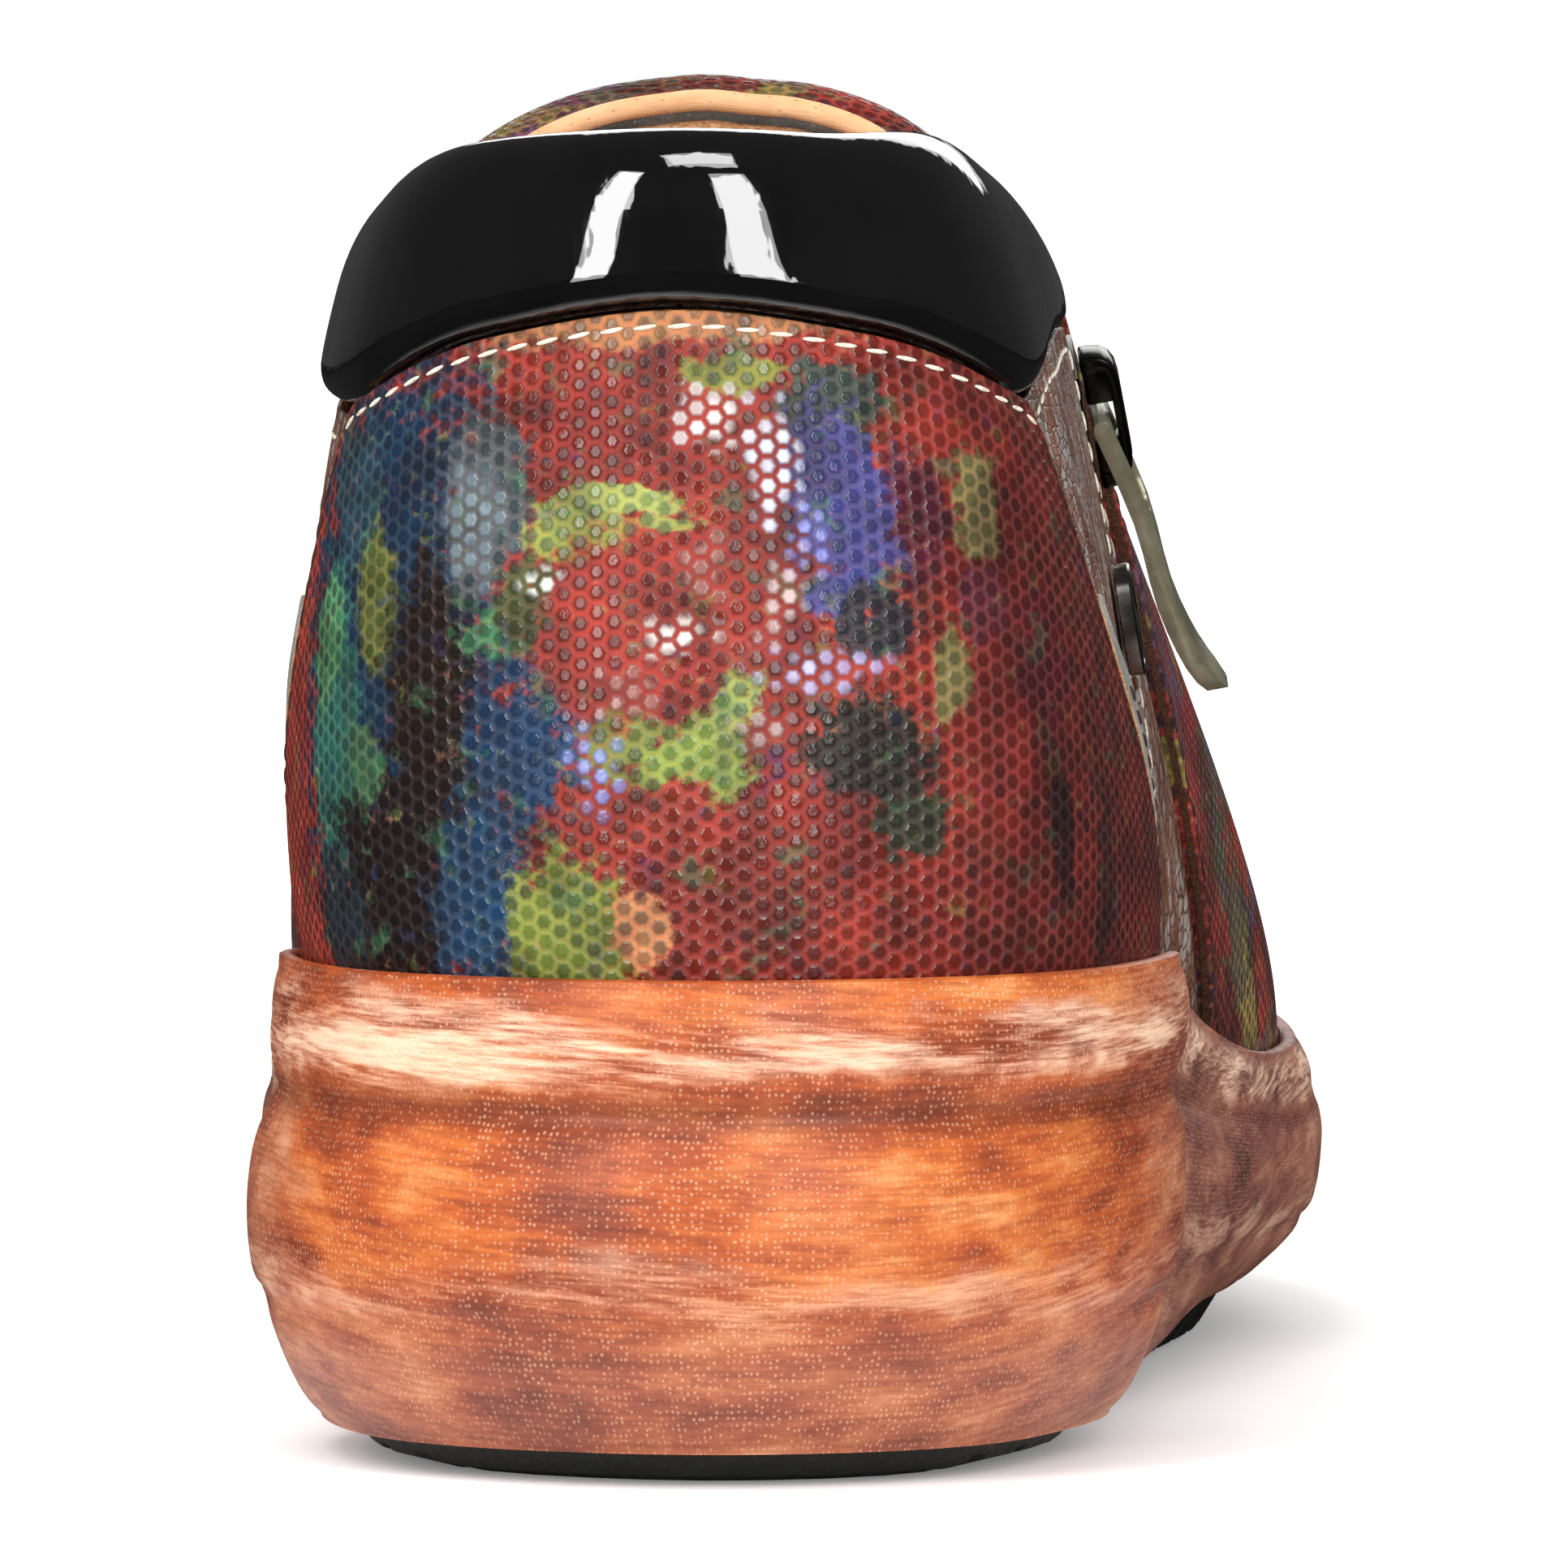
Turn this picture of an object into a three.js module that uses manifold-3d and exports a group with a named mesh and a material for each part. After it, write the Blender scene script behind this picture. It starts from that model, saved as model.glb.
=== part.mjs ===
// A woman's low casual shoe for the right foot, with a zip on its outer side: a leather upper of sewn panels with
// a padded collar, on a moulded platform sole with a rubber outsole.
//
// Millimetres. +X is the outer (lateral) side, +Y points to the toe, +Z is up. The origin is on the ground, under
// the centre of the heel seat.
//
// The upper is laid over one surface, the last. A place on it is (u, v): u runs once round the foot from the back
// of the heel, by the outer side and the toe, back to the heel, and v runs from the feather line, where the last
// meets the sole, up to the topline. Every panel covers a stretch of that surface, at its own depth in the stack
// of layers, and all of them are divided at the same values of u, so that their facets lie parallel.
import * as THREE from "three";
import { mergeVertices } from "three/addons/utils/BufferGeometryUtils.js";
import Module from "manifold-3d";

// ---- driving dimensions ----
const lastLength = 250; // heel back to toe tip, along the feather line
const ballWidth = 79; // feather line across the ball
const heelWidth = 59; // feather line across the heel seat
const heelHeight = 36; // feather line above the ground, at the heel
const ballHeight = 21.5; // the same, at the ball
const toeRise = 5.5; // how much higher the feather line is at the toe than at the ball
const upperHeight = 70; // topline above the feather line, at the back of the heel

const gap = 0.3; // between pieces that are sewn or cemented together
const liningThickness = 1.0;
const stiffenerThickness = 0.8;
const upperThickness = 1.2; // the panels next to the stiffeners
const overlayThickness = 1.2; // the panels sewn on top of those

const rimOverlap = 5; // how far the sole's rim stands above the feather line
const rimEdge = 1.1; // how far the rim's top runs out from the upper
const heelTuck = 2.9; // how far the wall draws in under the outer side of the heel
const outsoleThickness = 2.7;
const toeSpring = 8; // the outsole's lift off the ground at the toe tip
const grooveWidth = 2.4;
const grooveDepth = 1.3;
const groovePitch = 9;

const boardThickness = 1.6;
const fillerThickness = 1.9;
const shankWidth = 12;
const shankThickness = 1;
const shankLength = 95;
const foamThickness = 3.2;
const sockThickness = 1;
const footbedClearance = 0.7; // to the lining

const collarDepth = 10.5; // front to back through the padded roll, at the back of the heel
const collarLeather = 1;

const tapeWidth = 8;
const tapeThickness = 0.5;
const teethThickness = 2.2;
const toothPitch = 2;
const toothLength = 0.7; // along the zip
const toothReach = 0.9; // past the zip's centre line
const beadWidth = 1; // the rib of the row that holds its teeth together
const sliderLength = 13.5;
const sliderWidth = 9;
const plateThickness = 1;
const sliderClearance = 0.25;
const gussetHem = 2.4; // how far the gusset runs past each side of the slot
const slotClearance = 1.1; // from the slider to each side of the slot that the zip shows in
const crownHeight = 3.4;
const crownWidth = 4;
const crownWall = 0.9;
const pinClearance = 0.48; // under the crown, so that the pull can swing up
const pullLength = 26; // pin to tip
const pullWidth = 7;
const pullThickness = 1.6;
const armWidth = 1;
const badgeRadius = 4.8;
const badgeThickness = 1.5;
const stripWidth = 9; // of the strips in front of the heel counter, at the sole

// ---- layers of the upper, as distances out from the last ----
const liningLayer = [0, liningThickness];
const stiffenerLayer = [liningLayer[1] + gap, liningLayer[1] + gap + stiffenerThickness];
const upperLayer = [stiffenerLayer[1] + gap, stiffenerLayer[1] + gap + upperThickness];
const overlayLayer = [upperLayer[1] + gap, upperLayer[1] + gap + overlayThickness];
const upperSkin = overlayLayer[1];

// ---- the last ----
// The sizes that the ribs below are drawn for. Grading them to the dimensions above is what changes a size.
const pattern = { length: 250, ballWidth: 79, heelWidth: 59, upperHeight: 70 };

// One rib per station round the foot: [x, y] on the feather line, then two control points and the top, each
// [x, y, height above the feather line]. A rib is a cubic Bezier curve through them.
const ribs = [
  { foot: [0, -30], low: [0, -33.5, 19], high: [-1.5, -28, 44], top: [-2.5, -22, 70] }, // back of the heel
  { foot: [20.5, -21], low: [23, -23, 20], high: [18.5, -20, 46], top: [12, -15, 69] },
  { foot: [29.5, 2], low: [31.5, 2, 19], high: [25, 0, 46], top: [18.5, 2, 65] }, // outer side of the heel
  { foot: [29, 32], low: [32.5, 30, 18], high: [25.5, 26, 46], top: [22, 24, 61.5] },
  { foot: [29.5, 64], low: [32.5, 61, 18], high: [26.5, 50.6, 46.5], top: [22.5, 44, 65] }, // the zip
  { foot: [33.5, 98], low: [37, 92, 16], high: [26, 72, 49], top: [19.6, 59, 72.5] },
  { foot: [36.8, 130], low: [41.5, 122, 14.5], high: [26, 92, 46], top: [13.4, 69, 81.5] }, // outer side of the ball
  { foot: [34.5, 164], low: [38.5, 156, 16], high: [18.5, 108, 42], top: [7, 74, 86] },
  { foot: [25.5, 195], low: [28, 188, 21], high: [9, 120, 37], top: [1.5, 76.5, 86] },
  { foot: [11.5, 213], low: [12, 208, 27], high: [0, 124, 33], top: [-2.5, 77.5, 84.7] },
  { foot: [-5, 220], low: [-5, 219, 30], high: [-7.5, 126, 31], top: [-6, 77.8, 84.3] }, // tip of the toe
  { foot: [-21, 213], low: [-22, 208, 28], high: [-14, 126, 33], top: [-9.5, 77.5, 84.7] },
  { foot: [-35, 195], low: [-38, 188, 22], high: [-21, 122, 38], top: [-13.5, 76, 85.6] },
  { foot: [-41, 166], low: [-45, 158, 17], high: [-30, 108, 43], top: [-17.5, 73, 85.8] },
  { foot: [-39.5, 136], low: [-45, 128, 16.5], high: [-35.5, 92, 48], top: [-21.5, 67, 83.5] }, // inner side of the ball
  { foot: [-33, 100], low: [-40.5, 94, 18], high: [-36.5, 72, 53], top: [-26, 57, 76.5] },
  { foot: [-26, 66], low: [-34.5, 61, 20], high: [-35, 50, 49], top: [-29.5, 43, 66] }, // the arch
  { foot: [-27, 32], low: [-33, 30, 20], high: [-32, 26, 46], top: [-27.5, 24, 62.5] },
  { foot: [-29, 2], low: [-33.5, 2, 20], high: [-30, 0, 46], top: [-24, 2, 65] }, // inner side of the heel
  { foot: [-20, -21], low: [-24, -23, 20], high: [-22, -20, 46], top: [-17, -15, 69] },
];
const zipStation = 4;
const toeStation = 10;
const around = 4 * ribs.length; // columns of facets round the foot

const smooth = (t) => {
  const c = THREE.MathUtils.clamp(t, 0, 1);
  return c * c * (3 - 2 * c);
};
const mix = THREE.MathUtils.lerp;
const turn = (u) => u - Math.floor(u);
const at = (value, t) => (typeof value === "function" ? value(t) : value);
const lengthGrade = lastLength / pattern.length;
const heelBack = ribs[0].foot[1] * lengthGrade;
const toeTip = ribs[toeStation].foot[1] * lengthGrade;

// Height of the feather line above the ground at y: level under the heel, down to the ball, up again to the toe.
function featherHeight(y) {
  const toBall = smooth((y / lengthGrade - 5) / 115);
  const toToe = Math.max(0, (y / lengthGrade - 130) / 90) ** 2;
  return mix(heelHeight, ballHeight, toBall) + toeRise * toToe;
}

function graded([x, y, height = 0], footY) {
  const fore = smooth((y - 15) / 80);
  const widthGrade = mix(heelWidth / pattern.heelWidth, ballWidth / pattern.ballWidth, fore);
  const lift = (height * upperHeight) / pattern.upperHeight;
  return new THREE.Vector3(x * widthGrade, y * lengthGrade, featherHeight(footY * lengthGrade) + lift);
}

const rails = ["foot", "low", "high", "top"].map(
  (rail) => new THREE.CatmullRomCurve3(ribs.map((rib) => graded(rib[rail], rib.foot[1])), true, "centripetal"),
);

function lastPoint(u, v) {
  const w = 1 - v;
  const weights = [w * w * w, 3 * w * w * v, 3 * w * v * v, v * v * v];
  const point = new THREE.Vector3();
  rails.forEach((rail, i) => point.addScaledVector(rail.getPoint(turn(u)), weights[i]));
  return point;
}

const step = 1e-3;
const perU = (u, v) => lastPoint(u + step, v).sub(lastPoint(u - step, v)).divideScalar(2 * step);
const perV = (u, v) => lastPoint(u, v + step).sub(lastPoint(u, v - step)).divideScalar(2 * step);

// The direction out of the last. It is level at the feather line, so that the panels stand square on the board.
function outward(u, v) {
  const out = perU(u, v).cross(perV(u, v)).normalize();
  out.z *= smooth(v / 0.14);
  return out.normalize();
}
const offLast = (u, v, distance) => lastPoint(u, v).addScaledVector(outward(u, v), distance);
const sideways = (u, v, length) => u + length / perU(u, v).length();
const below = (u, v, length) => v - length / perV(u, v).length();

// A smooth edge through [u, v] places, as a function of u.
function through(...places) {
  const [us, vs] = [0, 1].map((i) => places.map((place) => place[i]));
  const curve = new THREE.CubicInterpolant(us, vs, 1, new Float64Array(1));
  return (u) => curve.evaluate(u)[0];
}

// ---- shape helpers ----
const wasm = await Module();
wasm.setup();

function solidOf(geometry) {
  const bare = geometry.clone();
  bare.deleteAttribute("normal");
  bare.deleteAttribute("uv");
  const merged = mergeVertices(bare, 1e-4);
  const triVerts = new Uint32Array(merged.index.array);
  const vertProperties = new Float32Array(merged.attributes.position.array);
  return new wasm.Manifold(new wasm.Mesh({ numProp: 3, vertProperties, triVerts }));
}

function geometryOf(solid) {
  const mesh = solid.getMesh();
  const geometry = new THREE.BufferGeometry();
  geometry.setAttribute("position", new THREE.BufferAttribute(new Float32Array(mesh.vertProperties), 3));
  geometry.setIndex(new THREE.BufferAttribute(new Uint32Array(mesh.triVerts), 1));
  return geometry;
}

const join = (...shapes) => geometryOf(shapes.map(solidOf).reduce((whole, next) => whole.add(next)));
const cut = (from, ...tools) =>
  geometryOf(tools.map(solidOf).reduce((rest, tool) => rest.subtract(tool), solidOf(from)));
const common = (a, b) => geometryOf(solidOf(a).intersect(solidOf(b)));

function facets(points, faces) {
  const geometry = new THREE.BufferGeometry();
  geometry.setAttribute("position", new THREE.Float32BufferAttribute(points.flatMap((p) => p.toArray()), 3));
  geometry.setIndex(faces.flat());
  return geometry;
}

const quad = (a, b, c, d) => [
  [a, b, c],
  [a, c, d],
];

// A panel of the upper. It reaches from one u to another, which may lean (functions of v), and from a lower to an
// upper v, which may curve (functions of u).
function panel({ from, to, lower = 0, upper, layer: [near, far], rows }) {
  const heights = [0, 0.25, 0.5, 0.75, 1];
  const first = Math.max(...heights.map((v) => at(from, v)));
  const end = Math.min(...heights.map((v) => at(to, v)));
  const lines = [from];
  for (let k = Math.ceil(first * around + 0.35); k / around < end - 0.35 / around; k++) lines.push(k / around);
  lines.push(to);
  const columns = lines.length - 1;
  const grid = lines.map((line) => {
    const bottom = at(lower, at(line, 0));
    const top = at(upper, at(line, 1));
    return Array.from({ length: rows + 1 }, (_, j) => {
      const v = mix(bottom, top, j / rows);
      return [at(line, v), v];
    });
  });
  const layerAt = (depth) => grid.flatMap((column) => column.map(([u, v]) => offLast(u, v, depth)));
  const points = [...layerAt(far), ...layerAt(near)];
  const id = (side, i, j) => (side * (columns + 1) + i) * (rows + 1) + j;
  const faces = [];
  for (let i = 0; i < columns; i++)
    for (let j = 0; j < rows; j++) {
      faces.push(...quad(id(0, i, j), id(0, i + 1, j), id(0, i + 1, j + 1), id(0, i, j + 1)));
      faces.push(...quad(id(1, i, j), id(1, i, j + 1), id(1, i + 1, j + 1), id(1, i + 1, j)));
    }
  for (let i = 0; i < columns; i++) {
    faces.push(...quad(id(0, i, 0), id(1, i, 0), id(1, i + 1, 0), id(0, i + 1, 0)));
    faces.push(...quad(id(0, i, rows), id(0, i + 1, rows), id(1, i + 1, rows), id(1, i, rows)));
  }
  for (let j = 0; j < rows; j++) {
    faces.push(...quad(id(0, 0, j), id(0, 0, j + 1), id(1, 0, j + 1), id(1, 0, j)));
    faces.push(...quad(id(0, columns, j), id(1, columns, j), id(1, columns, j + 1), id(0, columns, j + 1)));
  }
  return facets(points, faces);
}

// A solid through closed rings, bottom first, each a function of u. Its ends are closed by strips from the outer to
// the inner side of the foot.
function stack(rings, count) {
  const points = rings.flatMap((ring) => Array.from({ length: count }, (_, k) => ring(k / count)));
  const faces = [];
  const id = (r, k) => r * count + (k % count);
  for (let r = 0; r + 1 < rings.length; r++)
    for (let k = 0; k < count; k++) faces.push(...quad(id(r, k), id(r, k + 1), id(r + 1, k + 1), id(r + 1, k)));
  const top = rings.length - 1;
  for (let k = 0; k < count / 2; k++) {
    const [a, b, c, d] = [k, k + 1, count - k - 1, count - k];
    const middle = k > 0 && k < count / 2 - 1;
    const strips = middle ? quad(a, b, c, d) : [[a, b, k === 0 ? c : d]];
    for (const [p, q, r] of strips) {
      faces.push([id(0, p), id(0, r), id(0, q)]);
      faces.push([id(top, p), id(top, q), id(top, r)]);
    }
  }
  return facets(points, faces);
}

// A bar swept along the last from one u to another, through the points of section(u), each [out, up] from (u, v).
function roll(from, to, place, section) {
  const stations = Math.round((to - from) * around);
  const count = section(from).length;
  const points = [];
  for (let i = 0; i <= stations; i++) {
    const u = mix(from, to, i / stations);
    const v = at(place, u);
    const out = outward(u, v);
    const up = perV(u, v).normalize();
    for (const [a, b] of section(u)) points.push(lastPoint(u, v).addScaledVector(out, a).addScaledVector(up, b));
  }
  const faces = [];
  for (let i = 0; i < stations; i++)
    for (let k = 0; k < count; k++) {
      const next = (k + 1) % count;
      faces.push(...quad(i * count + k, (i + 1) * count + k, (i + 1) * count + next, i * count + next));
    }
  const ends = THREE.ShapeUtils.triangulateShape(section(from).map(([a, b]) => new THREE.Vector2(a, b)), []);
  const farEnd = stations * count;
  for (const [a, b, c] of ends) {
    faces.push([a, b, c]);
    faces.push([farEnd + a, farEnd + c, farEnd + b]);
  }
  return facets(points, faces);
}

// A ring that runs at a distance outside the feather line, or, above it, at that distance off the last.
function ring(distance, height) {
  return (u) => {
    const foot = rails[0].getPoint(turn(u));
    const z = at(height, foot.y);
    const away = typeof distance === "function" ? distance(foot.y, turn(u)) : distance;
    if (z <= foot.z) {
      const point = foot.addScaledVector(outward(u, 0), away);
      return point.setZ(z);
    }
    let [low, high] = [0, 0.4];
    for (let i = 0; i < 24; i++) {
      const v = (low + high) / 2;
      if (offLast(u, v, away).z < z) low = v;
      else high = v;
    }
    return offLast(u, low, away);
  };
}

const foreShare = (y) => smooth((y / lengthGrade - 45) / 60); // 0 under the heel, 1 from the ball on
const spring = (y) => toeSpring * Math.max(0, (y - 0.51 * toeTip) / (0.49 * toeTip + 9)) ** 2;
const byY = (heel, fore) => (y) => mix(heel, fore, foreShare(y));

// How much the wall draws in at u, where share is the height on the wall from 0 to 1.
function tuck(u, share) {
  const besideHeel = smooth((u - 0.02) / 0.06) * (1 - smooth((u - 0.15) / 0.06));
  return heelTuck * besideHeel * (1 - smooth((share - 0.4) / 0.6));
}

// ---- materials ----
const finish = (color, roughness, metalness = 0) => new THREE.MeshStandardMaterial({ color, roughness, metalness });
const look = {
  printedLeather: finish(0x8a3a2c, 0.45),
  patentLeather: finish(0x070707, 0.06),
  brownLeather: finish(0x6b4a3c, 0.38, 0.2),
  pewterLeather: finish(0x8c908e, 0.32, 0.4),
  tanLeather: finish(0xd8a27c, 0.7),
  paintedSole: finish(0xb3592f, 0.42),
  blackRubber: finish(0x1b1d1a, 0.7),
  foam: finish(0xe6dcc6, 0.9),
  board: finish(0x9a7a52, 0.85),
  steel: finish(0x8f9294, 0.35, 1),
  gunmetal: finish(0x4c4a43, 0.3, 1),
  blackTape: finish(0x16130f, 0.85),
};

const shoe = new THREE.Group();

function add(name, geometry, material, parent = shoe) {
  const mesh = new THREE.Mesh(geometry, material);
  mesh.name = name;
  parent.add(mesh);
  return mesh;
}

// ---- sole ----
const rimTop = (y) => featherHeight(y) + rimOverlap;
const wallFoot = (y) => outsoleThickness + spring(y) + 2.3 * foreShare(y);
const rimInner = upperSkin + gap;

// The wall's profile: [share of its height, distance outside the feather line at the heel, the same at the ball].
const wallProfile = [
  [0, 4.3, 2.8],
  [0.07, 6.3, 4.8],
  [0.2, 8.4, 7.6],
  [0.44, 10.5, 9.7],
  [0.6, 9.8, 9.9],
  [0.71, 7.9, 9.5],
  [0.8, 8.5, 8.7],
  [0.94, 7.3, 7.3],
];

const fillerTop = (y) => featherHeight(y) - gap - boardThickness - gap;
const fillerFoot = (y) => fillerTop(y) - fillerThickness;
const boardTop = (y) => featherHeight(y) - gap;
const boardFoot = (y) => boardTop(y) - boardThickness;

// A flat strip under the heel and the arch, between two heights.
function strip(wider, lower, upper) {
  const steps = 12;
  const start = -0.1 * shankLength - wider;
  const end = 0.9 * shankLength + wider;
  const ys = Array.from({ length: steps + 1 }, (_, i) => mix(start, end, i / steps));
  const outline = [...ys.map((y) => [y, lower(y)]), ...ys.reverse().map((y) => [y, upper(y)])];
  const shape = new THREE.Shape(outline.map(([y, z]) => new THREE.Vector2(y, z)));
  const width = shankWidth + 2 * wider;
  const bar = new THREE.ExtrudeGeometry(shape, { depth: width, bevelEnabled: false });
  bar.translate(0, 0, -width / 2);
  const axes = new THREE.Matrix4().makeBasis(
    new THREE.Vector3(0, 1, 0),
    new THREE.Vector3(0, 0, 1),
    new THREE.Vector3(1, 0, 0),
  );
  return bar.applyMatrix4(axes);
}

function addSole() {
  const wall = wallProfile.map(([share, heel, fore]) =>
    ring((y, u) => byY(heel, fore)(y) - tuck(u, share), (y) => mix(wallFoot(y), rimTop(y), share)),
  );
  const rings = [
    ...wall,
    ring(rimInner + rimEdge, rimTop),
    ring(rimInner, (y) => rimTop(y) - 0.6),
    ring(rimInner, (y) => featherHeight(y) - gap),
    ring(rimInner, (y) => fillerFoot(y) - gap),
  ];
  add("platform_sole", stack(rings, around), look.paintedSole);

  const tread = stack(
    [
      ring((y, u) => byY(-3, -5.5)(y) - tuck(u, 0), spring),
      ring((y, u) => byY(0.2, -1)(y) - tuck(u, 0), (y) => spring(y) + 0.8),
      ring((y, u) => byY(1.6, 1.4)(y) - tuck(u, 0), (y) => wallFoot(y) - gap),
    ],
    around,
  );
  const grooves = [];
  for (let y = heelBack + 1.5 * groovePitch; y < 0.6 * toeTip; y += groovePitch) {
    if (Math.abs(y) < groovePitch / 2) continue; // the middle of the heel stays plain
    grooves.push(new THREE.BoxGeometry(2 * ballWidth, grooveWidth, 2 * grooveDepth).translate(0, y, 0));
  }
  add("outsole", cut(tread, ...grooves), look.blackRubber);

  // The filler, with the slot that the shank lies in, and the board over both.
  const inTray = around / 2;
  const shankFoot = (y) => fillerTop(y) - shankThickness;
  const edge = upperSkin - 0.2;
  const filler = stack([ring(edge, fillerFoot), ring(edge, fillerTop)], inTray);
  const shankSlot = strip(gap, (y) => shankFoot(y) - gap, (y) => fillerTop(y) + 1);
  add("shank", strip(0, shankFoot, fillerTop), look.steel);
  add("sole_filler", cut(filler, shankSlot), look.foam);
  add("insole_board", stack([ring(edge, boardFoot), ring(edge, boardTop)], inTray), look.board);

  // The footbed inside the upper: foam, and the leather sock over it.
  const foamFoot = (y) => featherHeight(y) + gap;
  const foamTop = (y) => foamFoot(y) + foamThickness;
  const sockFoot = (y) => foamTop(y) + gap;
  const sockTop = (y) => sockFoot(y) + sockThickness;
  const inside = -footbedClearance;
  add("footbed_foam", stack([ring(inside, foamFoot), ring(inside, foamTop)], around), look.foam);
  add("footbed_cover", stack([ring(inside, sockFoot), ring(inside, sockTop)], around), look.tanLeather);
}

// ---- upper ----
const zipU = zipStation / ribs.length;
const zipTop = 0.965;
const zipFoot = 0.42;
const slotHalf = sliderWidth / 2 + slotClearance;
const slotOpen = (v) => mix(gap / 2, slotHalf, smooth((v - zipFoot + 0.1) / 0.08));
const besideZip = (length) => (v) => sideways(zipU, v, length);
const slotRear = (v) => sideways(zipU, v, -slotOpen(v));
const slotFront = (v) => sideways(zipU, v, slotOpen(v));
const halfSeam = 0.0006; // half the gap between panels that meet edge to edge, as a share of the way round
const throatV = 0.985;
const saddleRear = 0.2375; // where the saddle starts, in front of the zip

// The collar sits on the upper edges of the panels round the heel.
const collarEnd = 0.175;
const collarTop = through([0, 1.025], [0.05, 1.025], [0.1, 1.035], [0.14, 1.035], [0.2, 1.02]);
const collarSeat = through([0, 0.845], [0.035, 0.81], [0.075, 0.74], [0.11, 0.76], [0.15, 0.85], [0.2, 0.97]);
const outerSide = (u, first, full) => smooth((u - first) / (full - first));
// The outer end of the collar is cut higher, and shows the quarter's edge below it.
function collarLow(u) {
  return collarSeat(Math.abs(u)) + 0.07 * outerSide(u, 0.07, 0.115) * (1 - outerSide(u, 0.15, 0.2));
}
function collarHigh(u) {
  const lift = 0.035 * outerSide(u, 0.03, 0.09) * (1 - outerSide(u, 0.13, 0.175));
  return collarTop(Math.abs(u)) + 0.012 + lift;
}
const seat = (u) => below(u, collarLow(u), gap);

// The heel counter is lowest at its front corners.
const counterEnd = 0.142;
const counterCorner = [[0.06, 0.76], [0.075, 0.72], [0.086, 0.56], [0.1, 0.4], [0.115, 0.26], [0.13, 0.15]];
const counterTop = through(...counterCorner, [0.15, 0.06]);
const counterEdge = (u) => (Math.abs(u) < 0.07 ? seat(u) : Math.min(seat(u), counterTop(Math.abs(u))));

function addUpper() {
  const heelSeam = 0.3;
  add("heel_lining", panel({
    from: -0.1875, to: (v) => Math.min(0.1875, sideways(zipU, v, -slotHalf)), upper: seat, layer: liningLayer, rows: 6,
  }), look.tanLeather);
  add("inner_lining", panel({
    from: -heelSeam + halfSeam, to: -0.1875 - 2 * halfSeam, upper: throatV, layer: liningLayer, rows: 8,
  }), look.tanLeather);
  add("outer_lining", panel({
    from: besideZip(slotHalf), to: heelSeam - halfSeam, upper: throatV, layer: liningLayer, rows: 8,
  }), look.tanLeather);
  add("vamp_lining", panel({
    from: heelSeam + halfSeam, to: 1 - heelSeam - halfSeam, upper: throatV, layer: liningLayer, rows: 10,
  }), look.tanLeather);

  add("heel_stiffener", panel({
    from: -0.15, to: 0.15, lower: 0.01, upper: through([-0.16, 0.3], [-0.1, 0.5], [0, 0.7], [0.1, 0.5], [0.16, 0.3]),
    layer: stiffenerLayer, rows: 4,
  }), look.board);
  const puffLayer = [stiffenerLayer[0] + gap / 3, stiffenerLayer[1]];
  add("toe_puff", panel({
    from: 0.4, to: 0.6, upper: (4 / 14) * throatV, layer: puffLayer, rows: 4,
  }), look.board);

  const innerTop = (u) => (u > -0.1812 ? seat(u) : throatV);
  add("inner_quarter", panel({
    from: -heelSeam + halfSeam, to: -halfSeam, upper: innerTop, layer: upperLayer, rows: 8,
  }), look.brownLeather);
  add("outer_rear_quarter", panel({
    from: halfSeam, to: slotRear, upper: seat, layer: upperLayer, rows: 8,
  }), look.brownLeather);
  add("outer_front_quarter", panel({
    from: slotFront, to: heelSeam - halfSeam, upper: throatV, layer: upperLayer, rows: 8,
  }), look.brownLeather);
  add("vamp", panel({
    from: heelSeam + halfSeam, to: 1 - heelSeam - halfSeam, upper: throatV, layer: upperLayer, rows: 14,
  }), look.pewterLeather);

  add("heel_counter", panel({
    from: -counterEnd, to: counterEnd, upper: counterEdge, layer: overlayLayer, rows: 7,
  }), look.printedLeather);
  const saddleEdge = through(
    [0.2, 0], [0.29, 0], [0.31, 0.03], [0.34, 0.2], [0.37, 0.36], [0.4, 0.47], [0.45, 0.57], [0.5, 0.6],
    [0.55, 0.57], [0.6, 0.47], [0.63, 0.36], [0.66, 0.2], [0.69, 0.03], [0.71, 0], [0.8, 0],
  );
  add("saddle", panel({
    from: saddleRear, to: 1 - saddleRear, lower: (u) => Math.max(0, saddleEdge(u)), upper: throatV,
    layer: overlayLayer, rows: 12,
  }), look.printedLeather);

  const foldRadius = (upperSkin - liningLayer[1]) / 2;
  const foldRise = 1.05;
  const fold = Array.from({ length: 8 }, (_, k) => (k * Math.PI) / 4);
  add("throat_binding", roll(saddleRear, 1 - saddleRear, throatV, () =>
    fold.map((a) => [liningLayer[1] + foldRadius * (1 + Math.cos(a)), gap + foldRise * (1 + Math.sin(a))]),
  ), look.printedLeather);
}

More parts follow.
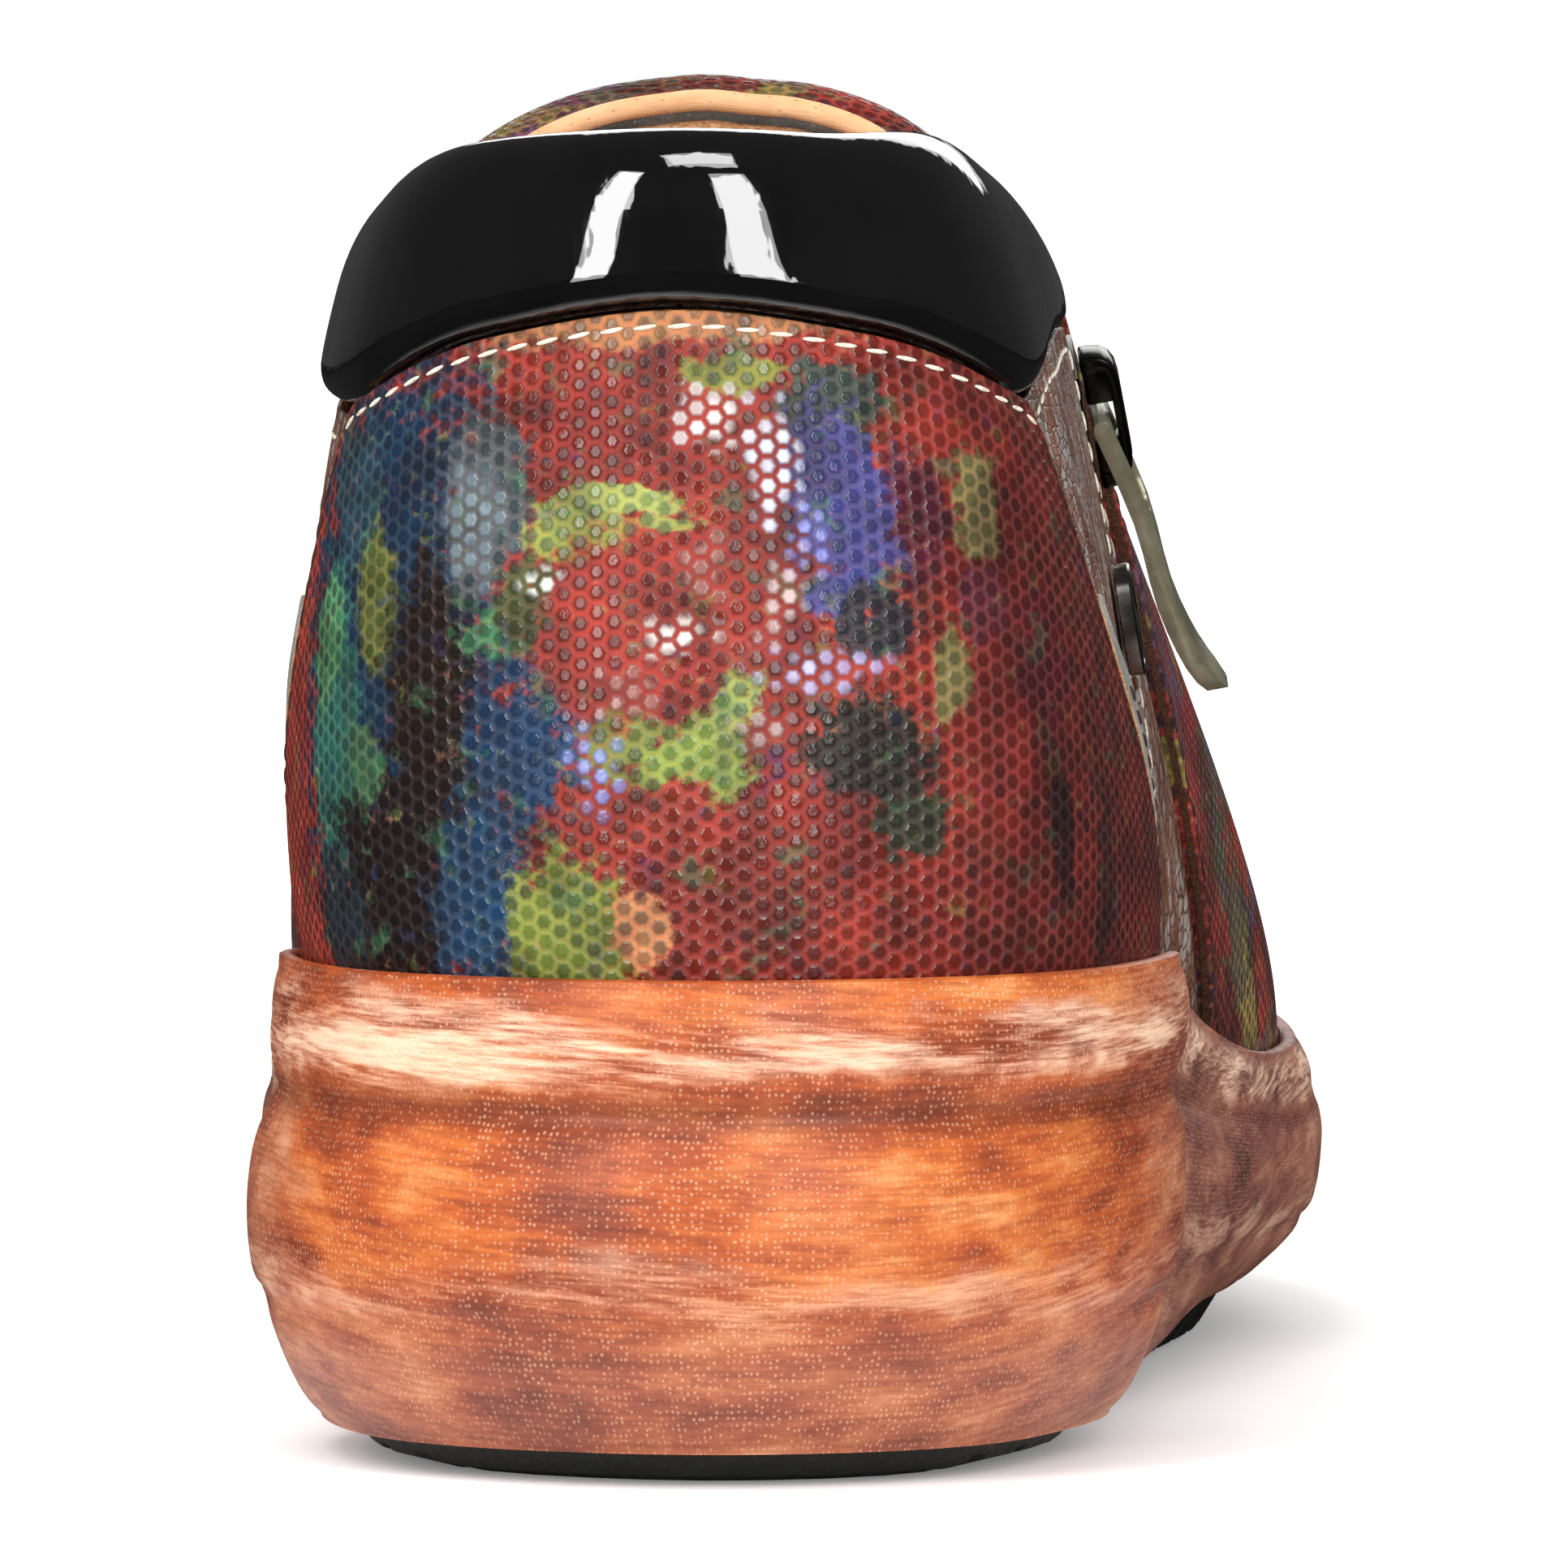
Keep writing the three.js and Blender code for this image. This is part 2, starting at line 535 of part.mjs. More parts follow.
// The padded collar: a roll along the topline, thinner towards its two ends, in a leather cover that is open below.
function addCollar() {
  const place = (u) => (collarHigh(u) + collarLow(u)) / 2;
  const half = (u) => ((collarHigh(u) - collarLow(u)) / 2) * perV(u, place(u)).length();
  const swell = (u) => mix(0.5, 1, Math.cos(((u / collarEnd) * Math.PI) / 2) ** 0.7) * (collarDepth / 2);
  const shape = (u, inset, angle) => [
    1.5 + (swell(u) - inset) * Math.cos(angle),
    (half(u) - inset) * Math.sin(angle),
  ];
  const halfOpening = Math.PI / 8;
  const segments = 8;
  const bend = (k) => mix(halfOpening - Math.PI / 2, (3 * Math.PI) / 2 - halfOpening, k / segments);
  const steps = Array.from({ length: segments + 1 }, (_, k) => k);
  const cover = (u) => [
    ...steps.map((k) => shape(u, 0, bend(k))),
    ...steps.map((k) => shape(u, collarLeather, bend(segments - k))),
  ];
  const foam = (u) => steps.slice(1).map((k) => shape(u, collarLeather + 1.5 * gap, (k * Math.PI) / 4));
  add("collar_cover", roll(-collarEnd, collarEnd, place, cover), look.patentLeather);
  add("collar_foam", roll(-collarEnd, collarEnd, place, foam), look.foam);
}

// ---- zip ----
// The zip lies in a flat plane of its own: x down the zip, y across it towards the toe, z out of the shoe. Its
// teeth are centred in the thickness of the tapes.
const zip = new THREE.Group();
const chainDepth = liningLayer[1] + gap + stiffenerThickness / 2;
const chainStart = offLast(zipU, zipTop, chainDepth);
const chainEnd = offLast(zipU, zipFoot, chainDepth);
const chainLength = chainStart.distanceTo(chainEnd);
const halfTeeth = teethThickness / 2;
const plateInner = halfTeeth + sliderClearance;
const plateOuter = plateInner + plateThickness;
const stopLength = 1.6;
const sliderStart = stopLength + gap;
const throat = 4.5; // the part of the slider where the two rows are apart
const beadInner = 1.5;
const beadOuter = beadInner + beadWidth;
const tapeEdge = beadOuter + 2 * gap;
const pinX = sliderStart + sliderLength / 2;
const pinZ = plateOuter + crownHeight - crownWall - pullThickness / 2 - pinClearance;

function placeZip() {
  const down = chainEnd.clone().sub(chainStart).normalize();
  const across = outward(zipU, (zipTop + zipFoot) / 2).cross(down).normalize();
  const out = down.clone().cross(across);
  zip.applyMatrix4(new THREE.Matrix4().makeBasis(down, across, out).setPosition(chainStart));
  shoe.add(zip);
}

function plate(outline, thickness, z) {
  const corners = (list) => new THREE.Shape(list.map(([x, y]) => new THREE.Vector2(x, y)));
  const shape = Array.isArray(outline) ? corners(outline) : outline;
  const flat = new THREE.ExtrudeGeometry(shape, { depth: thickness, bevelEnabled: false, curveSegments: 3 });
  return flat.translate(0, 0, z);
}

// A piece drawn from the side, in x and z, with its width in y.
function sidePiece(outline, width) {
  const across = new THREE.ExtrudeGeometry(outline, { depth: width, bevelEnabled: false, curveSegments: 4 });
  return across.translate(0, 0, -width / 2).rotateX(Math.PI / 2);
}

// One row of teeth, joined by the bead along the tape's edge. side is -1 at the rear and 1 at the front.
function teethRow(side, phase) {
  const start = sliderStart + throat;
  const end = chainLength - stopLength - gap;
  const outline = [[start, beadInner]];
  for (let x = start + phase; x + toothLength < end; x += toothPitch) {
    outline.push([x, beadInner], [x, -toothReach], [x + toothLength, -toothReach], [x + toothLength, beadInner]);
  }
  outline.push([end, beadInner], [end, beadOuter], [start, beadOuter]);
  return plate(outline.map(([x, y]) => [x, side * y]), teethThickness, -halfTeeth);
}

function addZip() {
  placeZip();
  // The gusset closes the slot from inside, just behind the slider.
  const gussetThickness = 0.8;
  const gusset = new THREE.BoxGeometry(chainLength + 2, 2 * (slotHalf + gussetHem), gussetThickness);
  gusset.translate(chainLength / 2 + 2, 0, -plateOuter - gap - gussetThickness / 2);
  add("zip_gusset", gusset, look.tanLeather, zip);
  const tapeLayer = [chainDepth - tapeThickness / 2, chainDepth + tapeThickness / 2];
  const outerEdge = tapeEdge + tapeWidth;
  const rearTop = (u) => (u < collarEnd + 0.001 ? seat(u) : throatV);
  add("zip_tape_rear", panel({
    from: besideZip(-outerEdge), to: besideZip(-tapeEdge), lower: zipFoot - 0.04, upper: rearTop,
    layer: tapeLayer, rows: 6,
  }), look.blackTape);
  add("zip_tape_front", panel({
    from: besideZip(tapeEdge), to: besideZip(outerEdge), lower: zipFoot - 0.04, upper: throatV,
    layer: tapeLayer, rows: 6,
  }), look.blackTape);
  add("zip_teeth_rear", teethRow(-1, 0.4), look.gunmetal, zip);
  add("zip_teeth_front", teethRow(1, 0.4 + toothPitch / 2), look.gunmetal, zip);

  for (const [name, side] of [["top_stop_rear", -1], ["top_stop_front", 1]]) {
    const stop = new THREE.BoxGeometry(stopLength, beadWidth + gap, teethThickness);
    add(name, stop.translate(stopLength / 2, side * (beadInner + (beadWidth + gap) / 2), 0), look.gunmetal, zip);
  }
  const foot = new THREE.BoxGeometry(stopLength, 2 * beadOuter, teethThickness + 0.6);
  add("bottom_stop", foot.translate(chainLength - stopLength / 2, 0, 0), look.gunmetal, zip);

  // The slider: two plates joined by the post that parts the rows, with flanges that hold the beads in.
  const half = sliderWidth / 2;
  const slider = new THREE.Group();
  slider.position.x = sliderStart;
  zip.add(slider);
  const outline = [
    [0, -0.7 * half], [1.4, -half], [throat, -half], [sliderLength - 1.5, -0.82 * half], [sliderLength, -0.6 * half],
    [sliderLength, 0.6 * half], [sliderLength - 1.5, 0.82 * half], [throat, half], [1.4, half], [0, 0.7 * half],
  ];
  const post = new THREE.CylinderGeometry(1, 1, 2 * plateOuter - plateThickness, 10);
  post.rotateX(Math.PI / 2).translate(2, 0, 0);
  const flange = (side, z) => {
    const bar = new THREE.BoxGeometry(sliderLength - 4.5, 0.7, 0.6);
    return bar.translate(sliderLength / 2 + 0.2, side * (0.82 * half - 0.36), z);
  };
  const flangeZ = plateInner - 0.2;
  const body = join(
    plate(outline, plateThickness, plateInner),
    plate(outline, plateThickness, -plateOuter),
    post,
    flange(-1, flangeZ), flange(1, flangeZ), flange(-1, -flangeZ), flange(1, -flangeZ),
  );
  add("zip_slider", body, look.gunmetal, slider);

  // The crown: an arch over the slider that the pull's pin turns in.
  const crownStart = 0.7;
  const crownEnd = sliderLength - 0.9;
  const base = plateOuter + gap;
  const arch = (inset) => {
    const top = plateOuter + crownHeight - inset;
    const shape = new THREE.Shape();
    shape.moveTo(crownStart + inset * 1.6, base - (inset ? 1 : 0));
    shape.lineTo(crownStart + inset * 1.6, base + 0.9);
    shape.quadraticCurveTo(crownStart + inset * 1.2, top, crownStart + 2.6, top);
    shape.lineTo(crownEnd - 3, top);
    shape.quadraticCurveTo(crownEnd - inset, top - 0.2, crownEnd - inset * 1.6, base + 0.7);
    shape.lineTo(crownEnd - inset * 1.6, base - (inset ? 1 : 0));
    return shape;
  };
  const crown = cut(sidePiece(arch(0), crownWidth), sidePiece(arch(crownWall), 2 * crownWidth));
  add("slider_crown", crown, look.gunmetal, slider);

  // The pull: a flat tab that bows away from the shoe, with a loop whose cross bar lies under the crown.
  const pull = new THREE.Group();
  pull.position.set(pinX - sliderStart, 0, pinZ);
  slider.add(pull);
  const bends = [[0, 0], [0.34, 0.075], [0.64, 0.1], [0.86, 0.155], [1, 0.225]];
  const bow = new THREE.SplineCurve(bends.map(([x, z]) => new THREE.Vector2(x, z).multiplyScalar(pullLength)));
  const steps = Array.from({ length: 13 }, (_, k) => k / 12);
  const edgeOf = (side) =>
    steps.map((t) => {
      const along = bow.getTangent(t);
      return bow.getPoint(t).add(new THREE.Vector2(-along.y, along.x).multiplyScalar((side * pullThickness) / 2));
    });
  const cap = [0.75, 0.5, 0.25].map((k) => {
    const angle = Math.PI / 2 + Math.PI * (1 - k) + Math.atan2(bow.getTangent(0).y, bow.getTangent(0).x);
    return new THREE.Vector2(Math.cos(angle), Math.sin(angle)).multiplyScalar(pullThickness / 2);
  });
  const side = sidePiece(new THREE.Shape([...edgeOf(-1), ...edgeOf(1).reverse(), ...cap]), pullWidth);
  const plan = new THREE.Shape();
  const w = pullWidth / 2;
  plan.moveTo(-pullThickness, -w);
  plan.lineTo(pullLength - w, -w);
  plan.absarc(pullLength - w, 0, w, -Math.PI / 2, Math.PI / 2, false);
  plan.lineTo(-pullThickness, w);
  const eye = new THREE.Path();
  const inner = w - armWidth;
  const eyeEnd = sliderLength / 2 + 2.2;
  eye.moveTo(pullThickness / 2, -inner);
  eye.lineTo(pullThickness / 2, inner);
  eye.lineTo(eyeEnd - inner, inner);
  eye.absarc(eyeEnd - inner, 0, inner, Math.PI / 2, -Math.PI / 2, true);
  plan.holes.push(eye);
  add("pull_tab", common(side, plate(plan, 4 * pullWidth, -2 * pullWidth)), look.gunmetal, pull);
}

// ---- trim ----
function addTrim() {
  // A plain round badge with a raised rim, on the rear quarter behind the zip.
  const [u, v] = [0.158, 0.53];
  const profile = [
    [0, 0], [badgeRadius, 0], [badgeRadius, badgeThickness], [badgeRadius - 1, badgeThickness],
    [badgeRadius - 1.2, badgeThickness - 0.5], [1.6, badgeThickness - 0.5], [1.4, badgeThickness - 0.1],
    [0, badgeThickness - 0.1],
  ];
  const disc = new THREE.LatheGeometry(profile.map(([r, z]) => new THREE.Vector2(r, z)), 20).rotateX(Math.PI / 2);
  const badge = add("side_badge", disc, look.gunmetal);
  badge.position.copy(offLast(u, v, upperLayer[1] + gap));
  badge.lookAt(offLast(u, v, 100));

  // A smooth strip in front of each side of the heel counter, widest at the sole.
  const corner = counterCorner.slice(1).reverse();
  const counterFront = through([-0.05, counterEnd], [0.09, counterEnd], ...corner.map(([u, v]) => [v, u]));
  const rearEdge = (v) => sideways(counterFront(v), v, 3 * gap);
  const frontEdge = (v) => sideways(counterFront(v), v, 3 * gap + mix(stripWidth, 1, v / 0.55));
  const strips = { upper: 0.52, layer: overlayLayer, rows: 6 };
  add("outer_side_strip", panel({ from: rearEdge, to: frontEdge, ...strips }), look.pewterLeather);
  add("inner_side_strip", panel({
    from: (v) => -frontEdge(v), to: (v) => -rearEdge(v), ...strips,
  }), look.pewterLeather);
}

addSole();
addUpper();
addCollar();
addZip();
addTrim();

export default shoe;
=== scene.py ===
import bpy, bmesh, math
import numpy as np
from mathutils import Matrix, Vector


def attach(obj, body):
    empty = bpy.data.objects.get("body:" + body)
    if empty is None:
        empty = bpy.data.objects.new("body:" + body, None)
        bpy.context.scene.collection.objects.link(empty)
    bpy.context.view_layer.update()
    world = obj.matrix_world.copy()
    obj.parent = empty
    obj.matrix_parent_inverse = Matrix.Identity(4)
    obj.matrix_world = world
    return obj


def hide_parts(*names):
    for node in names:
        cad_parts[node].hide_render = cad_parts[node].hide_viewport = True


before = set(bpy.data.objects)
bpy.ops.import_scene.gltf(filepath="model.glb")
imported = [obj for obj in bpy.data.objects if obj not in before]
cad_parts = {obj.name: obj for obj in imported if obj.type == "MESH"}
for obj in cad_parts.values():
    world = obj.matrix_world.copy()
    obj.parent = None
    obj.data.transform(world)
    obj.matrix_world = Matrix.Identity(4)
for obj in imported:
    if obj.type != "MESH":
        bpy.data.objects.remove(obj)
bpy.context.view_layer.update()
print("frame loaded:", len(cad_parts), "nodes")

mm = 0.001

# ---------- the last that the upper is laid over ----------
# Ribs round the foot: the foot on the feather line, two control points and the top, with heights above
# the feather line.
last = {
    "heelHeight": 36, "ballHeight": 21.5, "toeRise": 5.5,
    "foot": [(0, -30), (20.5, -21), (29.5, 2), (29, 32), (29.5, 64), (33.5, 98), (36.8, 130), (34.5, 164),
             (25.5, 195), (11.5, 213), (-5, 220), (-21, 213), (-35, 195), (-41, 166), (-39.5, 136),
             (-33, 100), (-26, 66), (-27, 32), (-29, 2), (-20, -21)],
    "low": [(0, -33.5, 19), (23, -23, 20), (31.5, 2, 19), (32.5, 30, 18), (32.5, 61, 18), (37, 92, 16),
            (41.5, 122, 14.5), (38.5, 156, 16), (28, 188, 21), (12, 208, 27), (-5, 219, 30), (-22, 208, 28),
            (-38, 188, 22), (-45, 158, 17), (-45, 128, 16.5), (-40.5, 94, 18), (-34.5, 61, 20), (-33, 30, 20),
            (-33.5, 2, 20), (-24, -23, 20)],
    "high": [(-1.5, -28, 44), (18.5, -20, 46), (25, 0, 46), (25.5, 26, 46), (26.5, 50.6, 46.5), (26, 72, 49),
             (26, 92, 46), (18.5, 108, 42), (9, 120, 37), (0, 124, 33), (-7.5, 126, 31), (-14, 126, 33),
             (-21, 122, 38), (-30, 108, 43), (-35.5, 92, 48), (-36.5, 72, 53), (-35, 50, 49), (-32, 26, 46),
             (-30, 0, 46), (-22, -20, 46)],
    "top": [(-2.5, -22, 70), (12, -15, 69), (18.5, 2, 65), (22, 24, 61.5), (22.5, 44, 65), (19.6, 59, 72.5),
            (13.4, 69, 81.5), (7, 74, 86), (1.5, 76.5, 86), (-2.5, 77.5, 84.7), (-6, 77.8, 84.3),
            (-9.5, 77.5, 84.7), (-13.5, 76, 85.6), (-17.5, 73, 85.8), (-21.5, 67, 83.5), (-26, 57, 76.5),
            (-29.5, 43, 66), (-27.5, 24, 62.5), (-24, 2, 65), (-17, -15, 69)],
}
upperFace = 3.6  # outer face of the quarters, off the last


def smooth(t):
    t = np.clip(t, 0, 1)
    return t * t * (3 - 2 * t)


def mix(a, b, t):
    return a + (b - a) * t


def at(value, t):
    return value(t) if callable(value) else value


def featherHeight(y):
    down = smooth((y - 5) / 115)
    return mix(last["heelHeight"], last["ballHeight"], down) + last["toeRise"] * np.maximum(0,
            (y - 130) / 90) ** 2


rails = []
for railName in ("foot", "low", "high", "top"):
    lifts = [p[2] if len(p) > 2 else 0 for p in last[railName]]
    rails.append(np.array([(p[0], p[1], featherHeight(f[1]) + lift)
                           for p, f, lift in zip(last[railName], last["foot"], lifts)], float))


def onRail(points, u):
    # closed centripetal Catmull-Rom, so that the visual panels follow the same curve as the solid ones
    count = len(points)
    place = (np.asarray(u, float) % 1) * count
    k = np.floor(place).astype(int) % count
    w = (place - np.floor(place))[..., None]
    p0, p1, p2, p3 = (points[(k + i) % count] for i in (-1, 0, 1, 2))
    gaps = [np.sqrt(np.linalg.norm(b - a, axis=-1))[..., None] for a, b in ((p0, p1), (p1, p2), (p2, p3))]
    t1 = ((p1 - p0) / gaps[0] - (p2 - p0) / (gaps[0] + gaps[1]) + (p2 - p1) / gaps[1]) * gaps[1]
    t2 = ((p2 - p1) / gaps[1] - (p3 - p1) / (gaps[1] + gaps[2]) + (p3 - p2) / gaps[2]) * gaps[1]
    return p1 + t1 * w + (-3 * p1 + 3 * p2 - 2 * t1 - t2) * w ** 2 + (2 * p1 - 2 * p2 + t1 + t2) * w ** 3


def onLast(u, v):
    u, v = np.broadcast_arrays(np.asarray(u, float), np.asarray(v, float))
    w = 1 - v
    weights = (w ** 3, 3 * w * w * v, 3 * w * v * v, v ** 3)
    return sum(onRail(rail, u) * weight[..., None] for rail, weight in zip(rails, weights))


def perU(u, v):
    return (onLast(u + 1e-3, v) - onLast(u - 1e-3, v)) / 2e-3


def perV(u, v):
    return (onLast(u, v + 1e-3) - onLast(u, v - 1e-3)) / 2e-3


def outward(u, v):
    out = np.cross(perU(u, v), perV(u, v))
    out /= np.linalg.norm(out, axis=-1, keepdims=True)
    out[..., 2] *= smooth(np.broadcast_to(v, out.shape[:-1]) / 0.14)
    return out / np.linalg.norm(out, axis=-1, keepdims=True)


def offLast(u, v, distance):
    return onLast(u, v) + outward(u, v) * np.asarray(distance, float)[..., None]


def sideways(u, v, length):
    return u + length / np.linalg.norm(perU(u, v), axis=-1)


def below(u, v, length):
    return v - length / np.linalg.norm(perV(u, v), axis=-1)


def through(*places):
    us, vs = np.array(places, float).T
    padU = np.concatenate(([2 * us[0] - us[1]], us, [2 * us[-1] - us[-2]]))
    padV = np.concatenate(([vs[1]], vs, [vs[-2]]))

    def curve(u):
        u = np.clip(u, us[0], us[-1])
        i = np.clip(np.searchsorted(us, u, side="right") - 1, 0, len(us) - 2)
        t0, t1 = us[i], us[i + 1]
        half = (t1 - t0) / 2
        wP, wN = half / (t0 - padU[i]), half / (padU[i + 3] - t1)
        p = (u - t0) / (t1 - t0)
        sP = -wP * p ** 3 + 2 * wP * p ** 2 - wP * p
        s0 = (1 + wP) * p ** 3 + (-1.5 - 2 * wP) * p ** 2 + (-0.5 + wP) * p + 1
        s1 = (-1 - wN) * p ** 3 + (1.5 + wN) * p ** 2 + 0.5 * p
        sN = wN * p ** 3 - wN * p ** 2
        return sP * padV[i] + s0 * vs[i] + s1 * vs[i + 1] + sN * padV[i + 3]
    return curve


# ---------- edges of the panels ----------
zipU, zipFoot, slotHalf = 0.2, 0.42, 5.6
throatV, saddleRear, collarEnd = 0.985, 0.2375, 0.175
collarTop = through((0, 1.025), (0.05, 1.025), (0.1, 1.035), (0.14, 1.035), (0.2, 1.02))
collarSeat = through((0, 0.845), (0.035, 0.81), (0.075, 0.74), (0.11, 0.76), (0.15, 0.85), (0.2, 0.97))
counterTop = through((0.06, 0.76), (0.075, 0.72), (0.086, 0.56), (0.1, 0.4), (0.115, 0.26), (0.13, 0.15),
                     (0.15, 0.06))
counterFront = through((-0.05, 0.142), (0.09, 0.142), (0.15, 0.13), (0.26, 0.115), (0.4, 0.1), (0.56, 0.086),
                       (0.72, 0.075))
saddleEdge = through((0.2, 0), (0.29, 0), (0.31, 0.03), (0.34, 0.2), (0.37, 0.36), (0.4, 0.47), (0.45, 0.57),
                     (0.5, 0.6),
                     (0.55, 0.57), (0.6, 0.47), (0.63, 0.36), (0.66, 0.2), (0.69, 0.03), (0.71, 0), (0.8, 0))


def outerSide(u, first, full):
    return smooth((u - first) / (full - first))


def collarLow(u):
    # the outer end of the collar is cut higher, and shows the quarter's edge below it
    return collarSeat(np.abs(u)) + 0.07 * outerSide(u, 0.07, 0.115) * (1 - outerSide(u, 0.15, 0.2))


def collarHigh(u):
    return collarTop(np.abs(u)) + 0.035 * outerSide(u, 0.03, 0.09) * (1 - outerSide(u, 0.13, 0.175)) + 0.012


def seat(u):
    return below(u, collarLow(u), 0.3)


def counterEdge(u):
    return np.where(np.abs(u) < 0.07, seat(u), np.minimum(seat(u), counterTop(np.abs(u))))


def slotOpen(v):
    return mix(0.15, slotHalf, smooth((v - zipFoot + 0.1) / 0.08))


def slotRear(v):
    return sideways(zipU, v, -slotOpen(v))


def slotFront(v):
    return sideways(zipU, v, slotOpen(v))


# ---------- materials ----------
def linear(hexCode, alpha=1.0):
    parts = [int(hexCode[i:i + 2], 16) / 255 for i in (1, 3, 5)]
    return tuple(c / 12.92 if c <= 0.04045 else ((c + 0.055) / 1.055) ** 2.4 for c in parts) + (alpha,)


def addNode(tree, kind, links=None, **settings):
    new = tree.nodes.new("ShaderNode" + kind)
    for key, value in settings.items():
        setattr(new, key, value)
    for socket, value in (links or {}).items():
        if isinstance(value, bpy.types.NodeSocket):
            tree.links.new(value, new.inputs[socket])
        else:
            new.inputs[socket].default_value = value
    return new


def math2(tree, operation, a, b=0.0):
    return addNode(tree, "Math", {0: a, 1: b}, operation=operation).outputs[0]


def blendColour(tree, share, a, b, kind="MIX"):
    a, b = (linear(c) if isinstance(c, str) else c for c in (a, b))
    return addNode(tree, "MixRGB", {0: share, 1: a, 2: b}, blend_type=kind).outputs[0]


def noise(tree, place, scale, detail=3.0, roughness=0.5):
    return addNode(tree, "TexNoise", {"Vector": place, "Scale": scale, "Detail": detail,
                                      "Roughness": roughness}).outputs[0]


def ranged(tree, value, low, high, toLow=0.0, toHigh=1.0, kind="SMOOTHSTEP"):
    return addNode(tree, "MapRange", {0: value, 1: low, 2: high, 3: toLow, 4: toHigh},
                   interpolation_type=kind).outputs[0]


def ramp(tree, value, *stops, kind="LINEAR"):
    new = addNode(tree, "ValToRGB", {0: value})
    new.color_ramp.interpolation = kind
    elements = new.color_ramp.elements
    while len(elements) < len(stops):
        elements.new(1.0)
    for element, (place, colour) in zip(elements, stops):
        element.position = place
        element.color = linear(colour)
    return new.outputs[0]


def stretched(tree, place, x, y, z=1.0):
    return addNode(tree, "VectorMath", {0: place, 1: (x, y, z)}, operation="MULTIPLY").outputs[0]


def newMaterial(name, uvInMm=True):
    material = bpy.data.materials.new(name)
    material.use_nodes = True
    tree = material.node_tree
    tree.nodes.clear()
    out = addNode(tree, "OutputMaterial")
    shader = addNode(tree, "BsdfPrincipled")
    tree.links.new(shader.outputs[0], out.inputs[0])
    if uvInMm:
        place = addNode(tree, "UVMap", uv_map="flat").outputs[0]
    else:
        place = addNode(tree, "TexCoord").outputs["Object"]
        place = stretched(tree, place, 1000, 1000, 1000)
    return material, tree, shader, place


def setShader(tree, shader, **values):
    for key, value in values.items():
        socket = shader.inputs[{"colour": "Base Color", "metallic": "Metallic", "roughness": "Roughness",
                                "ior": "IOR",
                                "coat": "Coat Weight", "coatRoughness": "Coat Roughness",
                                "sheen": "Sheen Weight",
                                "sheenRoughness": "Sheen Roughness", "specular": "Specular IOR Level",
                                "normal": "Normal"}[key]]
        if isinstance(value, bpy.types.NodeSocket):
            tree.links.new(value, socket)
        else:
            socket.default_value = linear(value) if isinstance(value, str) else value


def bump(tree, height, depthMm, under=None, strength=1.0):
    links = {"Height": height, "Distance": depthMm * mm, "Strength": strength}
    if under is not None:
        links["Normal"] = under
    return addNode(tree, "Bump", links).outputs[0]


# Embossed hexagons: a plate pressed into printed, waxed leather. Each cell is a low shiny dome with a dull
# groove round it.
hexCells = {"pitch": 1.62, "depth": 0.15}


def hexCellNodes(tree, place, pitch):
    parts = addNode(tree, "SeparateXYZ", {0: place}).outputs  # the cells stand in upright columns
    turned = addNode(tree, "CombineXYZ", {0: parts[1], 1: parts[0]}).outputs[0]
    p = addNode(tree, "VectorMath", {0: turned, "Scale": 1 / pitch}, operation="SCALE").outputs[0]
    half = (0.5, 0.8660254, 0.5)
    low = (-0.5, -0.8660254, -0.5)
    a = addNode(tree, "VectorMath", {0: p, 1: half, 2: low}, operation="WRAP").outputs[0]
    shifted = addNode(tree, "VectorMath", {0: p, 1: half}, operation="SUBTRACT").outputs[0]
    b = addNode(tree, "VectorMath", {0: shifted, 1: half, 2: low}, operation="WRAP").outputs[0]
    a, b = (stretched(tree, x, 1, 1, 0) for x in (a, b))
    lengths = [addNode(tree, "VectorMath", {0: x}, operation="LENGTH").outputs["Value"] for x in (a, b)]
    nearer = math2(tree, "LESS_THAN", lengths[0], lengths[1])
    local = addNode(tree, "Mix", {0: nearer, 4: b, 5: a}, data_type="VECTOR").outputs[1]
    folded = addNode(tree, "VectorMath", {0: local}, operation="ABSOLUTE").outputs[0]
    across = addNode(tree, "SeparateXYZ", {0: folded}).outputs[0]
    slanted = addNode(tree, "VectorMath", {0: folded, 1: (0.5, 0.8660254, 0)},
                      operation="DOT_PRODUCT").outputs["Value"]
    edge = math2(tree, "MAXIMUM", across, slanted)
    flatP = stretched(tree, p, 1, 1, 0)
    centre = addNode(tree, "VectorMath", {0: flatP, 1: local}, operation="SUBTRACT").outputs[0]
    centre = addNode(tree, "VectorMath", {0: centre, 1: (0.01, 0.01, 0.01)}, operation="SNAP").outputs[0]
    chance = addNode(tree, "TexWhiteNoise", {"Vector": centre}, noise_dimensions="3D").outputs[0]
    return edge, chance


